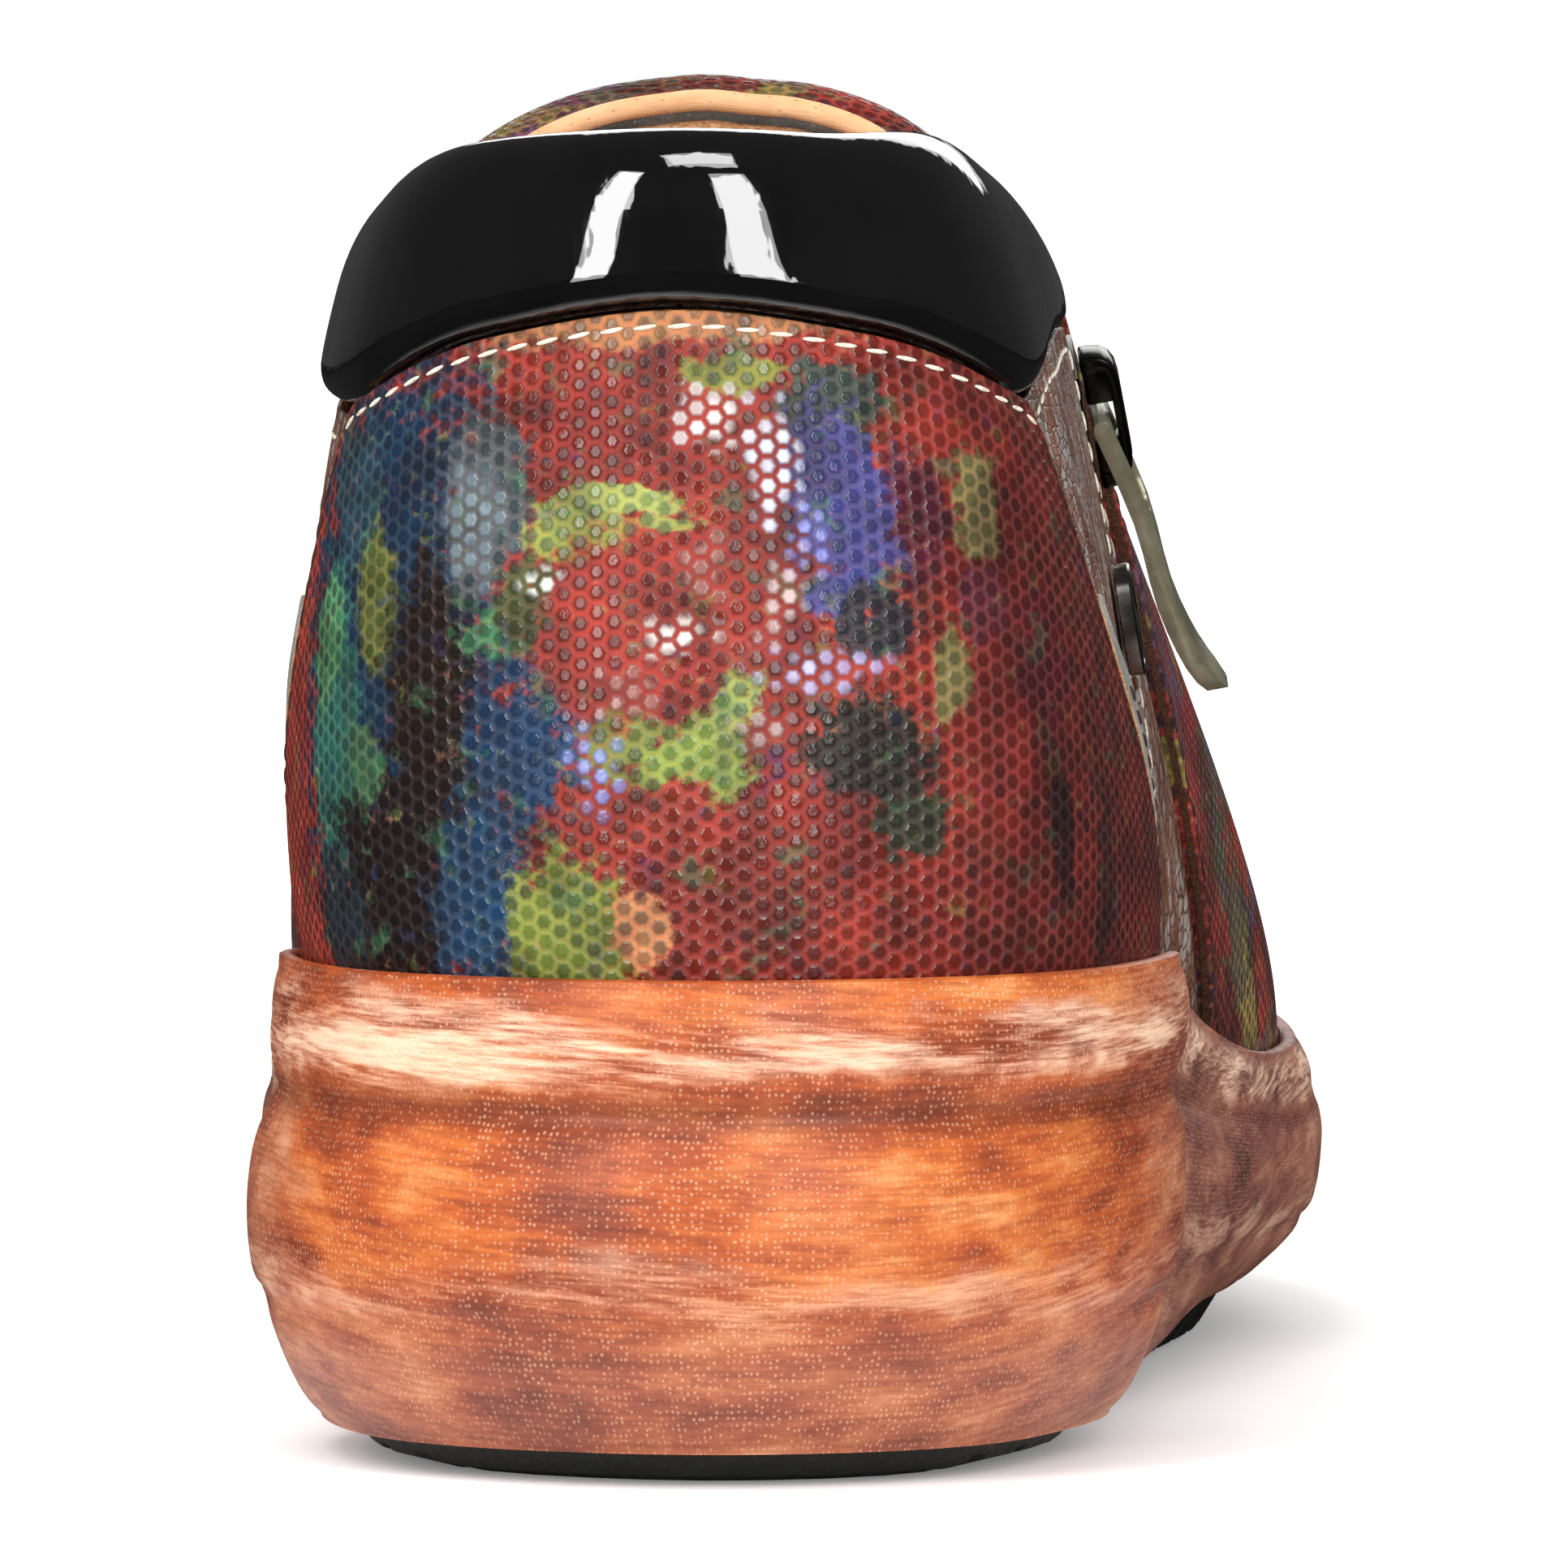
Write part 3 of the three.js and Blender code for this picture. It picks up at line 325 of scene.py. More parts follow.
# The print on the heel counter, in mm on the flat-cut piece: across, up, half width, half height, turn, colour.
counterPrint = [
    (-2, 58.5, 17, 2.0, 0, "#b07a50"), (-28, 30, 15.5, 31, 0, "#17344f"), (-36, 26, 5, 15, 0, "#2a6a60"),
    (-37.5, 35, 3, 5, 0, "#4a8a60"), (-29, 38, 2.6, 7, 8, "#5d6b33"), (-33, 47, 4.5, 6, 0, "#2b4f60"),
    (-22.5, 27, 5.2, 13, 0, "#251a14"), (-28, 14, 9, 11, 0, "#1f1718"), (-37, 10, 5, 8, 0, "#24303a"),
    (-17, 44.5, 4.4, 7.5, 0, "#4d5a61"), (-15, 34, 4, 2.5, 0, "#3c7a55"), (-14, 24.5, 5.4, 6.2, 0, "#1d4066"),
    (-18.5, 12, 5, 8.5, 0, "#1b4468"), (-31, 24, 2.2, 4, 20, "#3f6a4c"), (-13, 35.8, 3.2, 3.8, 0, "#4d5530"),
    (-8.5, 41.5, 4.4, 3.6, 0, "#8a9a4a"), (-4.5, 43.7, 5.5, 1.3, -8, "#9aac5e"),
    (-1.5, 41.9, 3.4, 0.7, -6, "#8f9c50"), (-5, 24.5, 3.6, 3, 0, "#75853e"),
    (0.6, 22.6, 4.8, 3.6, 32, "#86a04a"), (3.8, 26.6, 1.5, 3.4, -18, "#93a95a"),
    (-5.8, 33.5, 6.2, 7.2, 0, "#9c3328"), (-1.5, 19, 3.6, 2.0, 30, "#9c3a2a"),
    (-10.5, 9.5, 6, 6.5, 0, "#7d8f3c"), (-4.3, 9.3, 2.4, 3.6, 0, "#c98a5c"),
    (4.5, 54, 4.6, 1.6, 0, "#7f8a3c"), (12.5, 51, 4.6, 4, 0, "#3c4a44"), (19, 42, 4, 5.5, 0, "#5a2030"),
    (13, 43.5, 4.4, 7.5, 15, "#44478a"), (13, 36, 3.6, 2.4, 0, "#454a90"), (15.8, 33.5, 3.8, 3, 0, "#33333d"),
    (15, 23.5, 5.6, 4.6, -20, "#33302a"), (18.5, 17.5, 3.4, 3, 0, "#3a3f30"),
    (26, 43, 2.4, 5, -10, "#8a8752"), (22.2, 29.5, 1.9, 3.6, 0, "#7d7a48"), (33, 31, 4.5, 7, 0, "#74202a"),
    (26, 35, 3, 3, 0, "#6a2a38"), (35, 16.6, 2.0, 6.2, 4, "#33191b"), (44, 13, 2.5, 8, 0, "#4a2a24"),
    (28, 22, 3, 4, 0, "#9a3026"), (24, 10, 6, 4, 0, "#85281e"), (6, 12, 7, 5, 0, "#7d2a20"),
]
# Painted highlights in the print: glints painted as pale cells with dark grooves, where light shines back from
# the raised cells.
counterPaintedGlints = [
    (2.4, 50.4, 3.4, 3.4, 0, "#efecea"), (7.2, 46, 2.4, 6, 0, "#d9dff2"),
    (-0.5, 32.8, 3.4, 1.7, 0, "#efe9e2"), (10.8, 30, 5.4, 2.3, 0, "#bdb8e4"),
    (-7.6, 22.5, 2.8, 3.4, 0, "#8796d8"), (10, 40, 2.4, 3.4, 0, "#8b90dc"),
    (-12.5, 37.5, 2.2, 1.6, 0, "#dfe3d8"), (8, 36, 2.6, 4.6, 0, "#c4a9a6"), (-18, 43, 3.4, 5.6, 0, "#7d8c94"),
    (6, 25, 2.8, 2.6, 0, "#a98f8c"), (-4, 28, 3.6, 2.4, 0, "#a8746c"), (1.5, 38, 3, 3, 0, "#a77a72"),
]


def paintPatches(tree, base, place, wobble, patches, soft=(1.2, 0.8)):
    colour = base
    for across, up, halfWidth, halfHeight, turned, patchColour in patches:
        local = addNode(tree, "Mapping", {"Vector": place, "Location": (across, up, 0), "Scale": (halfWidth,
                halfHeight, 1),
                                          "Rotation": (0, 0, math.radians(turned))},
                        vector_type="TEXTURE").outputs[0]
        far = addNode(tree, "VectorMath", {0: local}, operation="LENGTH").outputs["Value"]
        share = ranged(tree, math2(tree, "ADD", far, wobble), soft[0], soft[1])
        colour = blendColour(tree, share, colour, patchColour)
    return colour


def printedLeather(name, patches=(), lights=()):
    material, tree, shader, place = newMaterial(name)
    edge, chance = hexCellNodes(tree, place, hexCells["pitch"])
    warp = addNode(tree, "TexNoise", {"Vector": place, "Scale": 0.22, "Detail": 4.0}).outputs[1]
    warp = addNode(tree, "VectorMath", {0: warp, 1: (0.5, 0.5, 0.5)}, operation="SUBTRACT").outputs[0]
    warp = addNode(tree, "VectorMath", {0: warp, "Scale": 3.4}, operation="SCALE").outputs[0]
    painted = addNode(tree, "VectorMath", {0: place, 1: warp}, operation="ADD").outputs[0]
    wobble = ranged(tree, noise(tree, place, 0.5, 6.0, 0.72), 0.3, 0.7, -0.42, 0.42, "LINEAR")
    base = ramp(tree, noise(tree, place, 0.09, 5.0, 0.62), (0.28, "#5c1b18"), (0.45, "#86291f"),
                (0.6, "#9c3527"), (0.78, "#a8452f"))
    if patches:
        colour = paintPatches(tree, base, painted, wobble, patches)
    else:
        # scattered flowers and leaves, patches of 10 to 25 mm
        swirl = addNode(tree, "TexNoise", {"Vector": place, "Scale": 0.09, "Detail": 6.0,
                                           "Roughness": 0.68}).outputs[1]
        swirl = addNode(tree, "VectorMath", {0: swirl, 1: (0.5, 0.5, 0.5)}, operation="SUBTRACT").outputs[0]
        swirl = addNode(tree, "VectorMath", {0: swirl, "Scale": 46.0}, operation="SCALE").outputs[0]
        painted = addNode(tree, "VectorMath", {0: painted, 1: swirl}, operation="ADD").outputs[0]
        cells = addNode(tree, "TexVoronoi", {"Vector": painted, "Scale": 0.075}).outputs["Color"]
        pick = addNode(tree, "SeparateColor", {0: cells}).outputs[0]
        large = ramp(tree, pick, (0.0, "#17344f"), (0.16, "#86291f"), (0.36, "#2b6350"), (0.48, "#7d2126"),
                     (0.62, "#292a25"),
                     (0.74, "#3a3f70"), (0.82, "#8a2c22"), (0.96, "#6f7a44"), kind="CONSTANT")
        small = addNode(tree, "TexVoronoi", {"Vector": painted, "Scale": 0.13}).outputs["Color"]
        parts = addNode(tree, "SeparateColor", {0: small})
        accent = ramp(tree, parts.outputs[1], (0.0, "#7f9248"), (0.15, "#1b4a74"), (0.4, "#932d24"),
                      (0.6, "#3a1f1d"), (0.88, "#6b6f48"),
                      kind="CONSTANT")
        colour = blendColour(tree, math2(tree, "GREATER_THAN", parts.outputs[0], 0.62), large, accent)
        colour = blendColour(tree, 0.35, colour, base)
    # brush marks of other inks over the patches
    for size, inkLow, inkHigh, ink, strength in ((0.21, 0.57, 0.66, "#3f7a55", 0.5),
                                                 (0.33, 0.6, 0.68, "#8a9a4a", 0.35),
                                                 (0.27, 0.6, 0.7, "#2c3a78", 0.4),
                                                 (0.4, 0.6, 0.7, "#c0876a", 0.3)):
        shifted = addNode(tree, "VectorMath", {0: painted, 1: (size * 311, size * 173, 0)},
                          operation="ADD").outputs[0]
        mark = ranged(tree, noise(tree, shifted, size, 5.0, 0.65), inkLow, inkHigh, 0.0, strength)
        colour = blendColour(tree, mark, colour, ink)
    if patches:
        # the print runs into crimson and brown shadow round the outer side
        across = addNode(tree, "SeparateXYZ", {0: painted}).outputs[0]
        colour = blendColour(tree, ranged(tree, across, 14, 35, 0.0, 0.62), colour, "#32151a")
    # inks vary in strength, darker towards cloudy patches
    cloud = noise(tree, place, 0.16, 5.0, 0.6)
    colour = blendColour(tree, ranged(tree, cloud, 0.35, 0.6, 0.5, 0.0), colour, "#1c1614", "MIX")
    fleck = ranged(tree, noise(tree, place, 0.9, 3.0, 0.6), 0.56, 0.72, 0.0, 0.5)
    colour = blendColour(tree, fleck, colour, blendColour(tree, 1.0, colour, "#c9b6a0", "SOFT_LIGHT"))
    # the cells are painted dark, a painted reflection of the dark surroundings in their smooth faces, and the
    # net between them keeps the dull bright print
    inCell = ranged(tree, edge, 0.44, 0.24)
    colour = blendColour(tree, math2(tree, "MULTIPLY", inCell, ranged(tree, chance, 0, 1, 0.35, 0.62,
            "LINEAR")), colour, "#140e0d")
    # painted highlights: each glint lightens only the cells, more on some cells than on others
    for across, up, halfWidth, halfHeight, turned, patchColour in lights:
        local = addNode(tree, "Mapping", {"Vector": painted, "Location": (across, up, 0), "Scale": (halfWidth,
                halfHeight, 1)},
                        vector_type="TEXTURE").outputs[0]
        far = addNode(tree, "VectorMath", {0: local}, operation="LENGTH").outputs["Value"]
        ragged = math2(tree, "ADD", far, ranged(tree, chance, 0.0, 1.0, -0.3, 0.5, "LINEAR"))
        share = math2(tree, "MULTIPLY", math2(tree, "MULTIPLY", ranged(tree, ragged, 1.15, 0.6), inCell),
                      ranged(tree, chance, 0.0, 1.0, 0.4, 0.95, "LINEAR"))
        colour = blendColour(tree, share, colour, patchColour)
    # painted light: the dull net between the cells is painted lighter beside the dark cells
    net = ranged(tree, edge, 0.3, 0.45)
    colour = blendColour(tree, math2(tree, "MULTIPLY", net, 0.4), colour,
                         blendColour(tree, 1.0, colour, "#e0a080", "SOFT_LIGHT"))
    fine = noise(tree, place, 5.0, 3.0)
    height = math2(tree, "ADD", ranged(tree, edge, 0.5, 0.2), math2(tree, "MULTIPLY", fine, 0.1))
    height = math2(tree, "ADD", height, math2(tree, "MULTIPLY", chance, 0.3))
    creases = bump(tree, noise(tree, place, 0.3, 4.0), 0.5, strength=0.5)
    normal = bump(tree, height, hexCells["depth"], creases, 0.9)
    rough = math2(tree, "ADD", ranged(tree, edge, 0.28, 0.44, 0.0, 0.42),
                  ranged(tree, chance, 0.0, 1.0, 0.14, 0.34, "LINEAR"))
    setShader(tree, shader, colour=colour, roughness=rough, normal=normal, specular=0.5)
    return material


# Patent leather: polyurethane film on leather, mirror smooth, with faint long waves where it is pulled over
# the foam.
def patentLeather():
    material, tree, shader, place = newMaterial("patentLeatherLacquered")
    waves = noise(tree, stretched(tree, place, 0.5, 1.0), 0.16, 2.0, 0.4)
    orangePeel = noise(tree, place, 1.1, 2.0, 0.5)
    ripples = noise(tree, place, 0.45, 2.0, 0.5)
    normal = bump(tree, orangePeel, 0.008, bump(tree, ripples, 0.09, bump(tree, waves, 0.6, strength=0.8), 0.8),
                  0.6)
    colour = ramp(tree, noise(tree, place, 0.2, 2.0), (0.3, "#050505"), (0.7, "#0a0a0b"))
    setShader(tree, shader, colour=colour, roughness=0.04, specular=0.9, coat=1.0, coatRoughness=0.02,
              normal=normal)
    return material


# Reptile-embossed cowhide, aniline brown with a silver foil; the pale streaks on the high scales are partly
# that foil and partly a painted highlight.
def scaledLeather():
    material, tree, shader, place = newMaterial("embossedBrownCowhide")
    squashed = stretched(tree, place, 0.42, 0.75)
    warp = noise(tree, place, 0.3, 3.0)
    warped = addNode(tree, "VectorMath", {0: squashed, 1: warp}, operation="ADD").outputs[0]
    gapTo = addNode(tree, "TexVoronoi", {"Vector": warped, "Scale": 1.0},
                    feature="DISTANCE_TO_EDGE").outputs["Distance"]
    cellId = addNode(tree, "TexVoronoi", {"Vector": warped, "Scale": 1.0}).outputs["Color"]
    chance = addNode(tree, "SeparateColor", {0: cellId}).outputs[0]
    scale = ranged(tree, gapTo, 0.0, 0.16)
    base = ramp(tree, noise(tree, place, 0.12, 4.0, 0.6), (0.3, "#4a2a1e"), (0.5, "#6d4230"), (0.72, "#8a5a44"))
    # partly foil, partly painted highlight: pale upright streaks on the high scales
    streaks = noise(tree, stretched(tree, place, 0.5, 0.12), 0.6, 4.0, 0.65)
    foilAndHighlight = math2(tree, "MULTIPLY", ranged(tree, streaks, 0.44, 0.58),
                 ranged(tree, chance, 0.2, 0.8, 0.3, 1.0, "LINEAR"))
    foilAndHighlight = math2(tree, "MULTIPLY", foilAndHighlight, scale)
    colour = blendColour(tree, foilAndHighlight, base, "#b3b0ab")
    colour = blendColour(tree, ranged(tree, gapTo, 0.07, 0.0, 0.0, 0.7), colour, "#2a1712")
    normal = bump(tree, math2(tree, "ADD", scale, math2(tree, "MULTIPLY", noise(tree, place, 3.0, 3.0), 0.2)),
                  0.16, strength=0.9)
    setShader(tree, shader, colour=colour, metallic=math2(tree, "MULTIPLY", foilAndHighlight, 0.3),
              roughness=ranged(tree, scale, 0, 1, 0.55, 0.32),
              specular=0.55, normal=normal, coat=0.1, coatRoughness=0.3)
    return material


# Pewter leather: grained calf with a transferred metal foil, slightly cracked in the creases.
def pewterLeather():
    material, tree, shader, place = newMaterial("foiledPewterCalf")
    pores = addNode(tree, "TexVoronoi", {"Vector": place, "Scale": 1.5},
                    feature="DISTANCE_TO_EDGE").outputs["Distance"]
    cloud = noise(tree, place, 0.12, 4.0, 0.6)
    colour = ramp(tree, cloud, (0.3, "#8f8f8b"), (0.5, "#a9a9a4"), (0.72, "#c6c5be"))
    colour = blendColour(tree, ranged(tree, pores, 0.1, 0.0, 0.0, 0.35), colour, "#4c463f")
    height = math2(tree, "ADD", ranged(tree, pores, 0.0, 0.2), math2(tree, "MULTIPLY", cloud, 1.5))
    setShader(tree, shader, colour=colour, metallic=0.35,
              roughness=ranged(tree, noise(tree, place, 0.5, 3.0), 0.3, 0.7, 0.28, 0.45),
              normal=bump(tree, height, 0.05, strength=0.7))
    return material


# Pigskin lining: vegetable tanned, dull, with its pores in groups of three.
def liningLeather():
    material, tree, shader, place = newMaterial("tannedPigskinLining")
    pores = addNode(tree, "TexVoronoi", {"Vector": place, "Scale": 0.85}).outputs["Distance"]
    cloud = noise(tree, place, 0.1, 4.0, 0.6)
    colour = ramp(tree, cloud, (0.3, "#c98f63"), (0.52, "#dcaa7c"), (0.75, "#e9c096"))
    colour = blendColour(tree, ranged(tree, pores, 0.16, 0.04, 0.0, 0.55), colour, "#8d5a36")
    height = math2(tree, "ADD", ranged(tree, pores, 0.05, 0.2),
                   math2(tree, "MULTIPLY", noise(tree, place, 1.6, 4.0), 0.8))
    setShader(tree, shader, colour=colour, roughness=ranged(tree, cloud, 0.3, 0.7, 0.62, 0.8), specular=0.35,
              sheen=0.15,
              sheenRoughness=0.5, normal=bump(tree, height, 0.09, strength=0.8))
    return material


# The cut edge of vegetable tanned leather: fibres, paler than the face, darkened in places by edge ink.
def rawEdge(name, colours):
    material, tree, shader, place = newMaterial(name, uvInMm=False)
    fibres = noise(tree, stretched(tree, place, 1, 1, 3), 1.8, 4.0, 0.7)
    colour = ramp(tree, fibres, (0.3, colours[0]), (0.5, colours[1]), (0.7, colours[2]))
    setShader(tree, shader, colour=colour, roughness=0.85, specular=0.25, normal=bump(tree, fibres, 0.12))
    return material


# The sole: moulded polyurethane foam, hand painted in thin coats with a dry brush so that it looks like
# stained wood.
soleFinish = {"brushLength": 22, "brushWidth": 1.1, "fineWidth": 0.5, "stipple": 0.52, "crease": 30.0}


def paintedSole():
    material, tree, shader, place = newMaterial("dryBrushedPolyurethane")
    objectPlace = stretched(tree, addNode(tree, "TexCoord").outputs["Object"], 1000, 1000, 1000)
    along = addNode(tree, "SeparateXYZ", {0: objectPlace})
    up = addNode(tree, "SeparateXYZ", {0: place}).outputs[1]
    length, width, hair = soleFinish["brushLength"], soleFinish["brushWidth"], soleFinish["fineWidth"]
    drift = ranged(tree, noise(tree, objectPlace, 0.014, 0.0), 0.3, 0.7, -3.0, 3.0,
                   "LINEAR")  # strokes wander up and down
    strokes = addNode(tree, "VectorMath", {0: objectPlace, 1: addNode(tree, "CombineXYZ",
            {2: drift}).outputs[0]}, operation="ADD").outputs[0]
    broad = noise(tree, stretched(tree, strokes, 1 / length, 1 / length, 1 / (3.2 * width)), 1.0, 5.0, 0.62)
    fine = noise(tree, stretched(tree, strokes, 3.0 / length, 3.0 / length, 1 / hair), 1.0, 4.0, 0.7)
    blot = noise(tree, stretched(tree, objectPlace, 0.06, 0.06, 0.11), 1.0, 6.0, 0.66)
    tone = math2(tree, "ADD", math2(tree, "MULTIPLY", broad, 0.42), math2(tree, "MULTIPLY", blot, 0.58))
    tone = math2(tree, "ADD", tone, ranged(tree, fine, 0.3, 0.7, -0.022, 0.022, "LINEAR"))
    colour = ramp(tree, tone, (0.34, "#5f2414"), (0.43, "#8c3b1a"), (0.5, "#ad4f20"), (0.56, "#c4672b"),
                  (0.66, "#dc9358"))
    # painted shade: darker mauve round the sides, the foot of the wall and the forefoot, which are turned away
    # from the light
    shadedSides = ranged(tree, math2(tree, "ADD", along.outputs[1], math2(tree, "MULTIPLY", blot, 50.0)), 34, 66)
    outer = ranged(tree, math2(tree, "ADD", math2(tree, "ABSOLUTE", along.outputs[0]), math2(tree, "MULTIPLY",
            blot, 16.0)), 40, 47)
    shadedFoot = math2(tree, "MULTIPLY", ranged(tree, up, 17, 9), 0.55)
    shadedMauve = ramp(tree, tone, (0.33, "#4f302c"), (0.46, "#7a4c44"), (0.55, "#966656"), (0.68, "#bf9080"))
    share = math2(tree, "MAXIMUM", math2(tree, "MAXIMUM", shadedSides, math2(tree, "MULTIPLY", outer, 0.6)), shadedFoot)
    colour = blendColour(tree, math2(tree, "MULTIPLY", share, 0.85), colour, shadedMauve)
    # painted highlights: paler on the rim and the ridge, broken up by the brush strokes; painted shade: darker
    # in the crease under the rim
    wavyUp = math2(tree, "ADD", up, ranged(tree, blot, 0.3, 0.7, -2.5, 2.5, "LINEAR"))
    rim = math2(tree, "MULTIPLY", ranged(tree, wavyUp, 31.5, 34.5), ranged(tree, wavyUp, 40, 36.5))
    ridge = math2(tree, "MULTIPLY", ranged(tree, wavyUp, 13.5, 15.5), ranged(tree, wavyUp, 19, 16.5))
    rimAndRidgeHighlight = math2(tree, "MULTIPLY", math2(tree, "ADD", rim, math2(tree, "MULTIPLY", ridge, 0.4)),
                   ranged(tree, math2(tree, "ADD", math2(tree, "MULTIPLY", broad, 0.6),
                                      math2(tree, "MULTIPLY", fine, 0.4)), 0.42, 0.62))
    colour = blendColour(tree, math2(tree, "MULTIPLY", rimAndRidgeHighlight, 0.85), colour, "#f0cdb0")
    # painted shade in the crease under the rim bead
    creaseShade = math2(tree, "ABSOLUTE", math2(tree, "SUBTRACT", up, soleFinish["crease"]))
    colour = blendColour(tree, ranged(tree, creaseShade, 2.6, 0.0, 0.0, 0.5), colour, "#5c2617")
    colour = blendColour(tree, ranged(tree, fine, 0.32, 0.6, 0.28, 0.0), colour, "#561f12")
    # fine stipple of the mould in rows, with pale paint left on its tops
    rows = stretched(tree, place, 1 / soleFinish["stipple"], 1 / soleFinish["stipple"])
    dotsFar = addNode(tree, "TexVoronoi", {"Vector": rows, "Scale": 1.0,
                                           "Randomness": 0.45}).outputs["Distance"]
    patchy = ranged(tree, noise(tree, objectPlace, 0.08, 4.0, 0.6), 0.4, 0.56, 0.5, 1.0)
    dots = math2(tree, "MULTIPLY", ranged(tree, dotsFar, 0.42, 0.12), patchy)
    colour = blendColour(tree, math2(tree, "MULTIPLY", dots, 0.42), colour, "#f0b890")
    brushed = bump(tree, fine, 0.035, bump(tree, blot, 0.5, strength=0.4), 0.6)
    normal = bump(tree, dots, 0.07, brushed, 0.8)
    setShader(tree, shader, colour=colour, roughness=ranged(tree, fine, 0.3, 0.7, 0.5, 0.38), specular=0.45,
              normal=normal)
    return material


# Plain materials on Object coordinates: name, pattern size in mm, colours, roughness range, metallic, bump
# depth in mm.
plainFinishes = {
    "calenderedRubber": (0.6, ("#0e100d", "#1a1d18", "#2a2d27"), (0.55, 0.8), 0.0, 0.06),
    "polyesterTapeWoven": (0.5, ("#0b0908", "#171310", "#241e19"), (0.75, 0.9), 0.0, 0.08),
    "gunmetalPlatedZinc": (2.2, ("#26251f", "#35332c", "#4a473e"), (0.16, 0.3), 1.0, 0.008),
    "darkChromeBadge": (3.0, ("#6c6c68", "#83837f", "#9a9a95"), (0.1, 0.22), 1.0, 0.004),
    "antiqueBrushedPull": (2.4, ("#77725c", "#8e8970", "#a7a18a"), (0.2, 0.34), 0.55, 0.01),
    "openCellFoam": (0.5, ("#d8cdb4", "#e6dcc6", "#f0e8d6"), (0.9, 1.0), 0.0, 0.2),
    "pressedFibreBoard": (1.2, ("#7d6243", "#9a7a52", "#b39468"), (0.8, 0.95), 0.0, 0.08),
    "coldRolledSteel": (2.0, ("#6d7072", "#8f9294", "#a9adaf"), (0.3, 0.45), 1.0, 0.01),
    "waxedCottonThread": (0.25, ("#b3a895", "#d6ccba", "#ece5d8"), (0.6, 0.8), 0.0, 0.05),
    "darkBondedThread": (0.25, ("#2a1512", "#47231e", "#5c332b"), (0.5, 0.7), 0.0, 0.05),
}


def plainMaterial(name):
    size, colours, rough, metallic, depth = plainFinishes[name]
    material, tree, shader, place = newMaterial(name, uvInMm=False)
    grain = noise(tree, place, 1 / size, 4.0, 0.6)
    patina = noise(tree, place, 0.35 / size, 3.0, 0.55)
    tone = math2(tree, "ADD", math2(tree, "MULTIPLY", grain, 0.5), math2(tree, "MULTIPLY", patina, 0.5))
    colour = ramp(tree, tone, (0.36, colours[0]), (0.5, colours[1]), (0.66, colours[2]))
    setShader(tree, shader, colour=colour, metallic=metallic,
              roughness=ranged(tree, patina, 0.3, 0.7, rough[0], rough[1]),
              normal=bump(tree, grain, depth, strength=0.7))
    return material


look = {name: plainMaterial(name) for name in plainFinishes}
look.update({
    "counter": printedLeather("printedHexagonLeatherCounter", counterPrint, counterPaintedGlints),
    "print": printedLeather("printedHexagonLeather"),
    "patent": patentLeather(), "scales": scaledLeather(), "pewter": pewterLeather(), "lining": liningLeather(),
    "edge": rawEdge("cutLeatherEdge", ("#7d4f30", "#b98558", "#dcb68a")),
    "inkedEdge": rawEdge("inkedLeatherEdge", ("#2e1a12", "#57382a", "#86603f")), "sole": paintedSole(),
})
print("materials made:", len(look))


# ---------- making pieces ----------
def makePiece(name, bm, materials, body, replaced=(), smoothAngle=None):
    mesh = bpy.data.meshes.new(name)
    if smoothAngle is not None:
        for edge in bm.edges:
            edge.smooth = not (edge.is_manifold and edge.calc_face_angle(0) > math.radians(smoothAngle))
    for face in bm.faces:
        face.smooth = True
    bm.to_mesh(mesh)
    bm.free()
    piece = bpy.data.objects.new(name, mesh)
    bpy.context.scene.collection.objects.link(piece)
    for material in materials:
        mesh.materials.append(material)
    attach(piece, body)
    if replaced:
        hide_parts(*replaced)
    return piece


def cutFlat(piece):
    # Unwraps the panel as the leather was cut; the caller then turns it level and scales it to millimetres.
    bpy.context.view_layer.objects.active = piece
    piece.select_set(True)
    piece.data.uv_layers.new(name="flat")
    bpy.ops.object.mode_set(mode="EDIT")
    bpy.ops.mesh.select_all(action="SELECT")
    bpy.ops.uv.unwrap(method="CONFORMAL", margin=0)
    bpy.ops.object.mode_set(mode="OBJECT")
    piece.select_set(False)


def gridSpots(bm, columns, rows):
    # create_grid's vertices run from -1 to 1 in x and y: the column and row of each one
    spots = np.array([v.co[:2] for v in bm.verts])
    return np.rint((spots[:, 0] + 1) / 2 * columns).astype(int), np.rint((spots[:,
            1] + 1) / 2 * rows).astype(int)


def place(bm, points):
    for vert, point in zip(bm.verts, points * mm):
        vert.co = point


def spread(length, spacing, roundedStart, roundedEnd):
    # shares along a side, with extra lines close to an edge that is rounded
    near = [0, 0.13, 0.35, 0.8]
    count = max(4, int(round(length / spacing)))
    shares = list(np.linspace(0, 1, count + 1))
    inner = [s for s in shares
             if (not roundedStart or s * length > 1.2) and (not roundedEnd or (1 - s) * length > 1.2)]
    start = [d / length for d in near] if roundedStart else []
    end = [1 - d / length for d in reversed(near)] if roundedEnd else []
    return np.array(start + inner + end)


def panelGrid(s, a, b):
    # (u, v) for shares a across and b up, where the ends may lean and the edges may curve
    u = mix(at(s["start"], np.full_like(a, 0.5)), at(s["end"], np.full_like(a, 0.5)), a)
    for _ in range(3):
        v = mix(at(s.get("lower", 0.0), u), at(s["upper"], u), b)
        u = mix(at(s["start"], v), at(s["end"], v), a)
    return u, v


